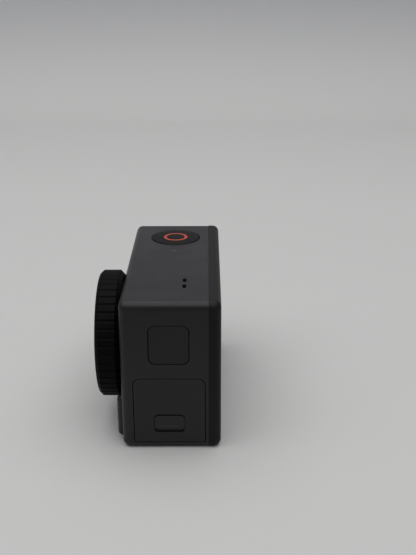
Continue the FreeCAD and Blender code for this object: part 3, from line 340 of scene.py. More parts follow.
def satin(name, base, roughness=0.34, edge_mm=0.12, gloss=0.3):
    """Smooth moulded plastic: an even skin with faint rubs, and a sheen painted brighter along its edges."""
    finish = Finish(name, IOR=1.5, Specular_IOR_Level=gloss)
    edge = finish.use("edge", Radius=edge_mm * MM)
    handling = finish.use("handling", Scale=120.0)
    grain = finish.use("grain", Scale=9000.0)
    toned = finish.blend(handling["Patch"], shade(base, 0.92), shade(base, 1.08))
    # Painted sheen: the base colour is lightened along the edges, standing for a sheen of light on them.
    painted_edge_sheen = finish.math("MULTIPLY", edge["Edge"], 0.4)
    finish.set("Base Color", finish.blend(painted_edge_sheen, toned, shade(base, 2.2)))
    finish.roughen(handling["Rub"], roughness, roughness + 0.12)
    finish.bump(grain["Height"], 0.003, 0.4, edge["Normal"])
    return finish.material


def rubber(name, base):
    """Moulded rubber: dull, dusty and slightly uneven."""
    finish = Finish(name, IOR=1.45)
    edge = finish.use("edge", Radius=0.15 * MM)
    grain = finish.use("grain", Scale=5200.0)
    handling = finish.use("handling", Scale=260.0)
    finish.tone(handling["Patch"], base, 0.9, 1.5)
    finish.roughen(grain["Speckle"], 0.72, 0.84)
    finish.bump(grain["Height"], 0.008, 0.5, edge["Normal"])
    return finish.material


def anodised(name, base, roughness=0.38):
    """Bead-blasted anodised metal, bare along its sharpest edges."""
    finish = Finish(name)
    edge = finish.use("edge", Radius=0.1 * MM)
    grain = finish.use("grain", Scale=7500.0)
    finish.set("Metallic", finish.ramp(edge["Edge"], 0.0, 1.0, 0.55, 0.95))
    finish.tone(edge["Edge"], base, 1.0, 4.0)
    finish.roughen(grain["Speckle"], roughness - 0.05, roughness + 0.07)
    finish.bump(grain["Height"], 0.005, 0.5, edge["Normal"])
    return finish.material


def spun_metal(name, base, centre, rotation=(0, 0, 0), metallic=1.0, roughness=0.26, marks=7000.0):
    """Metal turned on a lathe: fine rings about an axis through the centre."""
    finish = Finish(name, Metallic=metallic)
    edge = finish.use("edge", Radius=0.08 * MM)
    spun = finish.use("spun", Vector=finish.about(centre, rotation), Scale=marks)
    finish.tone(spun["Height"], base, 0.82, 1.15)
    finish.roughen(spun["Height"], roughness - 0.06, roughness + 0.10, 0.3, 0.7)
    finish.bump(spun["Height"], 0.004, 0.5, edge["Normal"])
    return finish.material


def brushed(name, base, along=(1.0, 30.0, 30.0), roughness=0.3):
    """Rolled metal: long scratches along one axis, and a dull patch here and there."""
    finish = Finish(name, Metallic=1.0)
    edge = finish.use("edge", Radius=0.06 * MM)
    lines = finish.add("TexNoise", {"Vector": finish.mapped(Scale=along), "Scale": 260.0,
                                    "Detail": 5.0}).outputs["Fac"]
    handling = finish.use("handling", Scale=300.0)
    finish.tone(lines, base, 0.72, 1.12)
    rough = finish.ramp(lines, 0.3, 0.7, roughness - 0.08, roughness + 0.1)
    finish.set("Roughness", finish.math("MULTIPLY_ADD", handling["Patch"], 0.08, rough))
    finish.bump(lines, 0.004, 0.5, edge["Normal"])
    return finish.material


def dark_glass(name, centre, half_width, half_height, tint, print_tint):
    """A screen's glass, switched off: black print round a window that is a shade bluer, under a hard coat."""
    finish = Finish(name, IOR=1.52, Coat_Weight=0.6, Coat_Roughness=0.03)
    window = finish.use("window", Vector=finish.about(centre), Half_Width=half_width, Half_Height=half_height)
    handling = finish.use("handling", Scale=60.0)
    edge = finish.use("edge", Radius=0.25 * MM)
    finish.set("Base Color", finish.blend(window["Mask"], print_tint, tint))
    smeared = finish.math("MULTIPLY_ADD", handling["Patch"], 0.05, 0.045)
    finish.set("Roughness", finish.math("MULTIPLY_ADD", handling["Rub"], 0.05, smeared))
    finish.set("Normal", edge["Normal"])
    return finish.material


def display(name, centre):
    """A display panel: a fine grid of dark cells inside a black border."""
    finish = Finish(name, IOR=1.5)
    grid = finish.add("TexBrick", {"Vector": finish.about(centre, (math.pi / 2, 0, 0)), "Scale": 1000.0,
                                   "Color1": (0.012, 0.013, 0.02, 1), "Color2": (0.016, 0.016, 0.024, 1),
                                   "Mortar": (0.002, 0.002, 0.002, 1), "Mortar Size": 0.05,
                                   "Brick Width": 0.3, "Row Height": 0.3}, offset=0.0)
    finish.set("Base Color", grid.outputs["Color"])
    finish.roughen(grid.outputs["Fac"], 0.16, 0.4)
    return finish.material


def clear_glass(name, film_nm):
    """Polished glass with the faintest smears, and a thin film where it is coated."""
    finish = Finish(name, IOR=1.5, Transmission_Weight=1.0, Base_Color=(1.0, 1.0, 1.0))
    finish.set("Thin Film Thickness", film_nm)
    finish.set("Thin Film IOR", 1.38)
    handling = finish.use("handling", Scale=80.0)
    finish.roughen(handling["Patch"], 0.0, 0.03)
    return finish.material


def circuit_board(name, base):
    """A board: solder mask over a maze of copper tracks, with bright pads and vias."""
    finish = Finish(name, IOR=1.5, Coat_Weight=0.3, Coat_Roughness=0.2)
    turned = finish.mapped(Rotation=(math.pi / 2, 0, 0))
    tracks = finish.add("TexVoronoi", {"Vector": turned, "Scale": 420.0}, feature="F1",
                        distance="CHEBYCHEV")
    fine = finish.add("TexBrick", {"Vector": turned, "Scale": 900.0, "Mortar Size": 0.06,
                                   "Brick Width": 1.7, "Row Height": 0.45, "Color1": (0, 0, 0, 1),
                                   "Color2": (0, 0, 0, 1), "Mortar": (1, 1, 1, 1)})
    pads = finish.math("LESS_THAN", tracks.outputs["Distance"], 0.13)
    track_tone = finish.blend(fine.outputs["Color"], base, shade(base, 2.1))
    finish.set("Base Color", finish.blend(pads, track_tone, (0.80, 0.62, 0.32)))
    finish.set("Metallic", pads)
    finish.roughen(pads, 0.42, 0.24)
    finish.bump(fine.outputs["Color"], 0.02, 0.5)
    return finish.material


def chip(name, base=(0.018, 0.018, 0.020)):
    """Moulded electronic part: fine black resin with a matt, sandy skin."""
    finish = Finish(name, IOR=1.5)
    edge = finish.use("edge", Radius=0.1 * MM)
    grain = finish.use("grain", Scale=12000.0)
    finish.tone(grain["Speckle"], base, 0.8, 1.6)
    finish.roughen(grain["Speckle"], 0.5, 0.66)
    finish.bump(grain["Height"], 0.004, 0.6, edge["Normal"])
    return finish.material


def wrapped_cell(name, base=(0.075, 0.077, 0.085)):
    """The battery's wrap: smooth film with slight creases that run along it."""
    finish = Finish(name, IOR=1.5, Coat_Weight=0.25, Coat_Roughness=0.3)
    edge = finish.use("edge", Radius=0.5 * MM)
    creases = finish.add("TexNoise", {"Vector": finish.mapped(Scale=(40, 300, 300)), "Scale": 1.0,
                                      "Detail": 3.0}).outputs["Fac"]
    finish.tone(creases, base, 0.85, 1.15)
    finish.roughen(creases, 0.36, 0.52, 0.3, 0.7)
    finish.bump(creases, 0.03, 0.3, edge["Normal"])
    return finish.material


def diffuser(name, base):
    """A status light's window: milky plastic over a small lamp that is off."""
    finish = Finish(name, IOR=1.5, Coat_Weight=0.4, Coat_Roughness=0.1)
    grain = finish.use("grain", Scale=8000.0)
    finish.tone(grain["Speckle"], base, 0.8, 1.0)
    finish.roughen(grain["Speckle"], 0.25, 0.4)
    return finish.material


def woven_mesh(name, base=(0.10, 0.10, 0.105), pitch_mm=0.16):
    """Fine woven metal gauze: bright round wires over gaps painted dark as the shade of the hollow behind."""
    finish = Finish(name)
    parts = finish.add("SeparateXYZ", {"Vector": finish.object_coordinates}).outputs
    turns = 2 * math.pi / (pitch_mm * MM)
    waves = []
    for axis in ("X", "Y", "Z"):
        wave = finish.math("COSINE", finish.math("MULTIPLY", parts[axis], turns))
        waves.append(finish.math("ABSOLUTE", wave))
    wires = finish.math("MAXIMUM", finish.math("MAXIMUM", waves[0], waves[1]), waves[2])
    # Painted shade: between the wires the colour drops to a tenth, standing for the shaded hollow behind the
    # weave.
    finish.tone(wires, base, 0.1, 1.0)
    finish.set("Metallic", finish.ramp(wires, 0.5, 0.9))
    finish.roughen(wires, 0.7, 0.35, 0.5, 1.0)
    finish.bump(wires, 0.03, 0.8)
    return finish.material


def dress(nodes, material):
    """Gives one material to construction nodes."""
    for name in nodes:
        mesh = NODES[name].data
        mesh.materials.clear()
        mesh.materials.append(material)


# ------------------------------------------------------------------ surfaces
def put_object(name, data):
    """An object of that name in the scene, with its data."""
    made = bpy.data.objects.new(name, data)
    bpy.context.scene.collection.objects.link(made)
    return made


def new_mesh(name, points, faces, material, smooth=True):
    """A mesh from an array of points and a list of faces."""
    mesh = bpy.data.meshes.new(name)
    mesh.from_pydata(points.tolist(), [], faces)
    mesh.polygons.foreach_set("use_smooth", [smooth] * len(mesh.polygons))
    mesh.materials.append(material)
    mesh.update()
    return mesh


def put_mesh(name, points, faces, material, body, smooth=True):
    """A mesh object that rides on a body."""
    piece = put_object(name, new_mesh(name, points, faces, material, smooth))
    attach(piece, body)
    return piece


def grid_faces(rows, columns, closed_rows, closed_columns):
    """Quads over a grid of points numbered row by row, as one array."""
    row = np.arange(rows if closed_rows else rows - 1)[:, None]
    column = np.arange(columns if closed_columns else columns - 1)[None, :]
    below, right = (row + 1) % rows, (column + 1) % columns
    corners = (row * columns + column, row * columns + right,
               below * columns + right, below * columns + column)
    return np.stack([np.broadcast_to(c, (row.size, column.size)) for c in corners], -1).reshape(-1, 4)


def capped_faces(rows, columns):
    """Quads over a row of rings, and one face across each end."""
    ends = np.arange(rows * columns).reshape(rows, columns)[[0, -1]]
    return grid_faces(rows, columns, False, True).tolist() + ends.tolist()


def rounded_outline(corners):
    """A closed outline whose corners are arcs.

    Each corner is (along, out, radius). The arc touches both runs at radius / tan(half the inner angle)
    from the corner. Its points are the arc's centre plus the radius times a unit vector that turns evenly
    from one run to the other.
    """
    spots = np.array([corner[:2] for corner in corners], float)
    radii = np.array([corner[2] for corner in corners], float)
    before = np.roll(spots, 1, 0) - spots
    after = np.roll(spots, -1, 0) - spots
    before /= np.linalg.norm(before, axis=1, keepdims=True)
    after /= np.linalg.norm(after, axis=1, keepdims=True)
    half = np.arccos(np.clip((before * after).sum(1), -1, 1)) / 2
    middle = before + after
    middle /= np.maximum(np.linalg.norm(middle, axis=1, keepdims=True), 1e-9)
    centres = spots + middle * (radii / np.sin(half))[:, None]
    first = spots + before * (radii / np.tan(half))[:, None] - centres
    last = spots + after * (radii / np.tan(half))[:, None] - centres
    start = np.arctan2(first[:, 1], first[:, 0])
    turn = np.arctan2(last[:, 1], last[:, 0]) - start
    turn = (turn + np.pi) % (2 * np.pi) - np.pi
    points_per_arc = 6
    share = np.linspace(0, 1, points_per_arc)
    angle = start[:, None] + turn[:, None] * share[None, :]
    arcs = centres[:, None, :] + radii[:, None, None] * np.stack([np.cos(angle), np.sin(angle)], -1)
    return arcs.reshape(-1, 2)


def lathe(name, outline, centre, axis, turns, material, body, relief=None, open_ends=False):
    """A surface of revolution.

    The axis is Y or Z. outline holds (place along the axis, radius) pairs and goes once round the section,
    or from pole to pole if open_ends is set. A point at angle a is centre + radius * (cos a, sin a) across
    the axis.
    relief(along, angle) gives a depth that is taken off the radius.
    """
    along, radius = outline[:, 0][:, None], outline[:, 1][:, None]
    angle = np.linspace(0, 2 * np.pi, turns, endpoint=False)[None, :]
    reach = np.broadcast_to(radius, (len(outline), turns)).copy()
    if relief is not None:
        reach -= relief(along, angle)
    place = np.broadcast_to(along, reach.shape)
    if axis == "Y":
        points = np.stack([centre[0] + reach * np.cos(angle), place, centre[2] + reach * np.sin(angle)], -1)
    else:
        points = np.stack([centre[0] + reach * np.cos(angle), centre[1] + reach * np.sin(angle), place], -1)
    faces = grid_faces(len(outline), turns, not open_ends, True).tolist()
    return put_closed(name, points.reshape(-1, 3), faces, material, body)


def put_closed(name, points, faces, material, body):
    """A smooth mesh with doubled points merged at its poles and every face turned outwards."""
    piece = put_mesh(name, points, faces, material, body)
    shape = bmesh.new()
    shape.from_mesh(piece.data)
    bmesh.ops.remove_doubles(shape, verts=shape.verts, dist=1e-6)
    bmesh.ops.recalc_face_normals(shape, faces=shape.faces)
    shape.to_mesh(piece.data)
    shape.free()
    return piece


def arc_between(start, end, sagitta, steps):
    """Points from start to end on an arc that bulges by sagitta to the left of the way, as an array.

    With chord c and sagitta s the radius is (c^2 / 4 + s^2) / (2 s).
    """
    start, end = np.array(start, float), np.array(end, float)
    chord = end - start
    reach = np.linalg.norm(chord)
    left = np.array([-chord[1], chord[0]]) / reach
    share = np.linspace(-1, 1, steps)
    radius = (reach ** 2 / 4 + sagitta ** 2) / (2 * abs(sagitta))
    height = np.sqrt(radius ** 2 - (share * reach / 2) ** 2) - (radius - abs(sagitta))
    line = (start + end) / 2 + share[:, None] * chord / 2
    return line + np.sign(sagitta) * height[:, None] * left


def tube(name, path, radius, sides, material, body):
    """A round wire along a path: circles across the path's own direction, with closed ends.

    The frame at each point is the path's direction and two unit vectors across it, found with cross products.
    """
    ahead = np.gradient(path, axis=0)
    ahead /= np.linalg.norm(ahead, axis=1, keepdims=True)
    across = np.cross(ahead, np.array([0.0, 0.0, 1.0]) + 1e-6)
    across /= np.linalg.norm(across, axis=1, keepdims=True)
    upward = np.cross(across, ahead)
    angle = np.linspace(0, 2 * np.pi, sides, endpoint=False)
    rings = (path[:, None, :] + radius * (np.cos(angle)[None, :, None] * across[:, None, :]
                                          + np.sin(angle)[None, :, None] * upward[:, None, :]))
    return put_closed(name, rings.reshape(-1, 3), capped_faces(len(path), sides), material, body)


def refine(outline, step):
    """An outline with further points, so that no run is longer than step.

    The corners' distances along the outline are joined with evenly spaced ones, and both coordinates are read
    off at those distances.
    """
    closed = np.vstack([outline, outline[:1]])
    travelled = np.concatenate([[0.0], np.cumsum(np.linalg.norm(np.diff(closed, axis=0), axis=1))])
    wanted = np.union1d(travelled[:-1], np.arange(0.0, travelled[-1], step))
    wanted = wanted[np.concatenate([[True], np.diff(wanted) > 1e-7])]
    return np.stack([np.interp(wanted, travelled, closed[:, k]) for k in range(2)], -1)


def smoothstep(low, high, number):
    """0 below low, 1 above high, and 3 t^2 - 2 t^3 between."""
    share = np.clip((number - low) / (high - low), 0, 1)
    return share * share * (3 - 2 * share)


def pillow(name, centre, half_length, half_width, thickness, power, material, body):
    """A thin plate whose plan is a superellipse: |x / a|^n + |y / b|^n = 1, as rings from pole to pole."""
    angle = np.linspace(0, 2 * np.pi, 96, endpoint=False)[None, :]
    plan = (np.abs(np.cos(angle)) ** power + np.abs(np.sin(angle)) ** power) ** (-1 / power)
    share = np.array([0.001, 0.25, 0.5, 0.75, 0.93, 1.0, 1.0, 0.93, 0.5, 0.001])[:, None]
    level = np.array([0.5, 0.5, 0.5, 0.5, 0.45, 0.3, -0.3, -0.5, -0.5, -0.5])[:, None] * thickness
    across = centre[0] + half_length * share * plan * np.cos(angle)
    along = centre[1] + half_width * share * plan * np.sin(angle)
    points = np.stack([across, along, centre[2] + np.broadcast_to(level, across.shape)], -1)
    return put_closed(name, points.reshape(-1, 3), capped_faces(len(share), angle.size), material, body)


def blocks(name, lows, highs, material, body):
    """Many small boxes in one mesh, from whole arrays of their lowest and highest corners."""
    lows, highs = np.asarray(lows, float), np.asarray(highs, float)
    pick = np.array([[x, y, z] for z in (0, 1) for y in (0, 1) for x in (0, 1)])
    points = lows[:, None, :] + pick[None, :, :] * (highs - lows)[:, None, :]
    sides = np.array([[0, 2, 3, 1], [4, 5, 7, 6], [0, 1, 5, 4], [2, 6, 7, 3], [0, 4, 6, 2], [1, 3, 7, 5]])
    faces = (sides[None] + 8 * np.arange(len(lows))[:, None, None]).reshape(-1, 4)
    return put_mesh(name, points.reshape(-1, 3), faces.tolist(), material, body, smooth=False)


def settings():
    scene = bpy.context.scene
    return scene.camera_colours, scene.camera_shapes, scene.camera_stage


# ------------------------------------------------------------------ operators
class ACTIONCAM_OT_stage(Operator):
    """Sets the pale floor and backdrop, the soft light and the view"""
    bl_idname = "actioncam.stage"
    bl_label = "Set the Stage"

    def execute(self, context):
        colours, _, stage = settings()
        self.lay_floor(colours)
        self.hang_lights(stage)
        self.place_view(stage)
        context.scene.view_settings.view_transform = "Standard"
        return {"FINISHED"}

    def lay_floor(self, colours):
        """A floor that bends up into a wall: a straight run, a quarter circle and a straight rise.

        The section is carried along Y. The floor runs from near to far, then turns up with radius bend.
        """
        near, far, bend, rise, half = 0.60, -0.46, 0.12, 1.6, 1.6
        turn = np.linspace(0, np.pi / 2, 24)
        section = np.concatenate([
            [[near, 0.0]], np.stack([far - bend * np.sin(turn), bend - bend * np.cos(turn)], -1),
            [[far - bend, rise]]])
        sides = np.array([-half, half])
        points = np.stack([np.broadcast_to(section[:, :1], (len(section), 2)),
                           np.broadcast_to(sides, (len(section), 2)),
                           np.broadcast_to(section[:, 1:], (len(section), 2))], -1).reshape(-1, 3)
        finish = Finish("studio paper", Specular_IOR_Level=0.2)
        place = finish.add("SeparateXYZ", {"Vector": finish.object_coordinates}).outputs
        climb = finish.ramp(place["Z"], 0.0, bend, smooth=True)
        fibre = finish.add("TexNoise", {"Vector": finish.object_coordinates, "Scale": 900.0,
                                        "Detail": 3.0}).outputs["Fac"]
        paper = finish.blend(climb, colours.floor, colours.wall)
        # Painted shade: nearer than 0.10 to 0.19 m along X the floor's colour darkens to 0.18 of itself,
        # standing for the shadow cast over the near floor.
        near_floor_painted_shade = finish.ramp(place["X"], 0.10, 0.19, smooth=True)
        finish.set("Base Color", finish.blend(near_floor_painted_shade, paper, shade(colours.floor, 0.18)))
        finish.roughen(fibre, 0.7, 0.85)
        finish.bump(fibre, 0.02, 0.2)
        faces = grid_faces(len(section), 2, False, False)[:, ::-1].tolist()
        floor = put_object("floor", new_mesh("floor", points, faces, finish.material))

    def hang_lights(self, stage):
        world = bpy.data.worlds.new("studio")
        world.use_nodes = True
        world.node_tree.nodes["Background"].inputs["Color"].default_value = (0.97, 0.985, 1.0, 1.0)
        world.node_tree.nodes["Background"].inputs["Strength"].default_value = stage.world
        bpy.context.scene.world = world
        lamps = (("overhead", (0.06, -0.03, 0.85), (0, 0, 0.02), (1.3, 1.3), stage.top),
                 ("beside", (0.15, -0.75, 0.45), (0, 0, 0.02), (0.5, 0.5), stage.side))
        for name, place, target, size, power in lamps:
            lamp = bpy.data.lights.new(name, "AREA")
            lamp.shape = "RECTANGLE"
            lamp.size, lamp.size_y = size
            lamp.energy = power
            hung = put_object(name, lamp)
            hung.location = place
            hung.rotation_euler = (Vector(target) - Vector(place)).to_track_quat("-Z", "Y").to_euler()

    def place_view(self, stage):
        """The view looks along -X, turned by yaw, tilted down, and rolled about its own axis."""
        level = math.cos(stage.tilt)
        ahead = Vector((-level * math.cos(stage.yaw), -level * math.sin(stage.yaw), -math.sin(stage.tilt)))
        right = Vector((-math.sin(stage.yaw), math.cos(stage.yaw), 0.0))
        upward = right.cross(ahead)
        rolled = right * math.cos(stage.roll) + upward * math.sin(stage.roll)
        upright = upward * math.cos(stage.roll) - right * math.sin(stage.roll)
        viewer = put_object("view", bpy.data.cameras.new("view"))
        viewer.data.lens = stage.focal
        viewer.data.clip_start = 0.005
        turned = Matrix((rolled, upright, -ahead)).transposed().to_4x4()
        turned.translation = Vector(stage.place)
        viewer.matrix_world = turned
        bpy.context.scene.camera = viewer


class ACTIONCAM_OT_casing(Operator):
    """Finishes the housing, the rear frame, the side button and the front microphone cover"""
    bl_idname = "actioncam.casing"
    bl_label = "Finish the Casing"

    def execute(self, context):
        colours, _, _ = settings()
        dress(["main_housing"], moulded("housing grain", colours.housing))
        dress(["front_microphone_cover"], moulded("pod grain", shade(colours.housing, 0.9), edge_mm=0.3))
        dress(["quick_switch_button"],
              moulded("side button grain", shade(colours.housing, 0.94), roughness=0.52, grain_mm=0.13,
                      edge_mm=0.25, edge_sheen_and_rub=0.7))
        dress(["rear_frame"],
              satin("rear frame skin", colours.rear_frame, 0.46, edge_mm=0.3, gloss=0.16))
        dress(["rear_frame_seal"], rubber("frame seal rubber", colours.rubber))
        light = diffuser("light window", (0.014, 0.014, 0.016))
        dress(["front_status_light", "top_status_light"], light)
        return {"FINISHED"}


class ACTIONCAM_OT_doors(Operator):
    """Finishes the two side doors with their latches, pins and seals"""
    bl_idname = "actioncam.doors"
    bl_label = "Finish the Doors"

    def execute(self, context):
        colours, _, _ = settings()
        dress(["usb_door", "battery_door"], moulded("door grain", shade(colours.housing, 0.96), edge_mm=0.2))
        dress(["usb_door_latch", "battery_door_latch"],
              moulded("latch grain", shade(colours.housing, 1.15), roughness=0.44, grain_mm=0.1, edge_mm=0.2,
                      edge_sheen_and_rub=0.8))
        dress(["usb_door_seal", "battery_door_seal"], rubber("door seal rubber", (0.09, 0.09, 0.092)))
        dress(["usb_door_hinge_pin", "battery_door_hinge_pin"],
              brushed("blackened pin", shade(colours.steel, 0.06), along=(30.0, 1.0, 30.0)))
        return {"FINISHED"}


class ACTIONCAM_OT_lens_cover(Operator):
    """Makes the knurled lens cover and its glass"""
    bl_idname = "actioncam.lens_cover"
    bl_label = "Make the Lens Cover"

    def execute(self, context):
        colours, shapes, _ = settings()
        self.turn_ring(colours, shapes)
        self.turn_glass(shapes)
        return {"FINISHED"}

    def turn_ring(self, colours, shapes):
        """The ring's section is carried round the lens axis, and each groove is a cosine dip in its edge.

        With p the place across a groove in pitches, from -1/2 to 1/2, the depth is the full depth times
        (1 + cos(2 pi p / w)) / 2 for |p| < w / 2, where w is the groove's share of the pitch. It fades in
        and out along the edge.
        """
        front, rear, outer = RING_LOW.y, RING_HIGH.y, RING_RADIUS
        wall, taper, glass = 2.4 * MM, 1.4 * MM, shapes.glass_radius
        skirt, taper_start = outer - wall, rear - 1.3 * MM
        seat_inner, seat = glass - 1.3 * MM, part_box("lens_cover_glass")[1].y
        corners = [
            (front, glass + 1.2 * MM, 0.15 * MM), (front, outer - 0.9 * MM, 0.55 * MM),
            (front + 0.95 * MM, outer, 0.5 * MM), (taper_start, outer, 0.3 * MM),
            (rear, outer - taper, 0.2 * MM), (rear, skirt, 0.1 * MM), (seat + 0.1 * MM, skirt, 0.05 * MM),
            (seat + 0.1 * MM, seat_inner, 0.03 * MM), (seat, seat_inner, 0.03 * MM), (seat, glass, 0.03 * MM),
            (front + 0.5 * MM, glass, 0.05 * MM)]
        outline = refine(rounded_outline(corners), 0.35 * MM)
        pitch = 2 * np.pi / shapes.groove_count

        def grooves(along, angle):
            across = (angle / pitch) % 1.0 - 0.5
            dip = np.where(np.abs(across) < shapes.groove_share / 2,
                           (1 + np.cos(2 * np.pi * across / shapes.groove_share)) / 2, 0.0)
            fade = (smoothstep(front + 0.35 * MM, front + 1.1 * MM, along)
                    * (1 - smoothstep(taper_start, taper_start + 0.9 * MM, along)))
            return shapes.groove_depth * dip * fade * self.edge_only

        self.edge_only = (outline[:, 1] > outer - 1.2 * MM).astype(float)[:, None]
        ring = lathe("lens_cover_rim", outline, LENS_CENTRE, "Y", shapes.groove_count * 14,
                     satin("cover skin", colours.cover, 0.52, edge_mm=0.15, gloss=0.05), "lens_cover",
                     relief=grooves)
        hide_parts("lens_cover_ring")

    def turn_glass(self, shapes):
        """A flat disc with a ground edge: its section runs from pole to pole."""
        low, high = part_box("lens_cover_glass")
        edge = 0.3 * MM
        radius = shapes.glass_radius
        outline = np.array([
            (low.y, 0.0), (low.y, radius * 0.5), (low.y, radius - edge), (low.y + edge, radius),
            (high.y - edge, radius), (high.y, radius - edge), (high.y, radius * 0.5), (high.y, 0.0)])
        glass = lathe("lens_cover_window", outline, LENS_CENTRE, "Y", 160,
                      clear_glass("cover glass", film_nm=110.0), "lens_cover", open_ends=True)
        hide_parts("lens_cover_glass")


class ACTIONCAM_OT_optics(Operator):
    """Makes the lens elements, the baffle and the iris, and finishes the mount and the sensor"""
    bl_idname = "actioncam.optics"
    bl_label = "Make the Lens"

    def execute(self, context):
        colours, _, _ = settings()
        metal = colours.metal
        facing = (math.pi / 2, 0, 0)
        dress(["lens_mount_ring"], anodised("mount metal", metal))
        dress(["lens_barrel"], anodised("barrel metal", shade(metal, 0.5), 0.5))
        dress(["lens_retaining_ring"],
              spun_metal("retainer metal", shade(metal, 0.8), LENS_CENTRE, facing, 0.8))
        dress(["lens_barrel_seal"], rubber("barrel seal rubber", colours.rubber))
        dress(["heat_spreader"], brushed("spreader copper", colours.copper))
        sensor = Finish("sensor face", Metallic=0.0, Coat_Weight=1.0, Coat_Roughness=0.02, IOR=1.6)
        cells = sensor.add("TexVoronoi", {"Vector": sensor.object_coordinates, "Scale": 30000.0},
                           distance="CHEBYCHEV")
        spread = cells.outputs["Distance"]
        sensor.set("Base Color", sensor.blend(spread, (0.03, 0.012, 0.05), (0.01, 0.04, 0.05)))
        sensor.roughen(spread, 0.2, 0.35)
        dress(["image_sensor"], sensor.material)
        self.grind_elements()
        self.fit_baffles(metal)
        return {"FINISHED"}

    def grind_elements(self):
        """Each element's faces are arcs, given by how far they bulge, and join at a ground edge."""
        sagitta_share, steps = -0.28, 14
        for node, bulge_front, bulge_rear, film in (("front_lens_element", 1.1, 1.2, 210.0),
                                                    ("rear_lens_element", 0.6, 0.6, 330.0)):
            low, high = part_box(node)
            radius = (high.x - low.x) / 2
            edge_front, edge_rear = low.y + bulge_front * MM, high.y - bulge_rear * MM
            polished = radius * 0.86
            front = arc_between((low.y, 0.0), (edge_front, polished), sagitta_share * bulge_front * MM, steps)
            rear = arc_between((edge_rear, polished), (high.y, 0.0), sagitta_share * bulge_rear * MM, steps)
            edge = np.array([(edge_front, radius), (edge_rear, radius)])
            glass = clear_glass(node.replace("_", " "), film_nm=film)
            element = lathe(node.replace("_lens_element", "_glass_element"), np.vstack([front, edge, rear]),
                            LENS_CENTRE, "Y", 128, glass, "camera", open_ends=True)
            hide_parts(node)

    def fit_baffles(self, metal):
        """The baffle's section is a stair: each step reaches further in. The iris is a thin ring of
        overlapping leaves. At angle a the radius of its inner edge is r - d cos(7 a)."""
        low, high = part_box("front_lens_element")
        start, outer = high.y - 1.35 * MM, (high.x - low.x) / 2 - 0.05 * MM
        steps, rise, run = 5, 0.32 * MM, 0.36 * MM
        inner = outer - 0.5 * MM
        stair = [(start, outer), (start, inner)]
        for k in range(steps):
            tread = start + (k + 1) * run
            stair += [(tread, inner - k * rise), (tread, inner - (k + 1) * rise)]
        end = start + (steps + 0.4) * run
        stair += [(end, inner - steps * rise), (end, outer)]
        black = anodised("baffle black", shade(metal, 0.3), 0.6)
        baffle = lathe("lens_baffle", np.array(stair), LENS_CENTRE, "Y", 128, black, "camera")
        low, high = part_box("rear_lens_element")
        front, rear = high.y + 0.3 * MM, high.y + 0.45 * MM
        opening, rim, wave = 3.4 * MM, 7.4 * MM, 0.09 * MM
        leaf = np.array([(front, opening), (front, rim), (rear, rim), (rear, opening)])
        at_opening = np.array([1.0, 0.0, 0.0, 1.0])[:, None]

        def leaves(_, angle):
            return at_opening * wave * np.cos(7 * angle)

        iris = lathe("lens_iris", leaf, LENS_CENTRE, "Y", 140, black, "camera", relief=leaves)


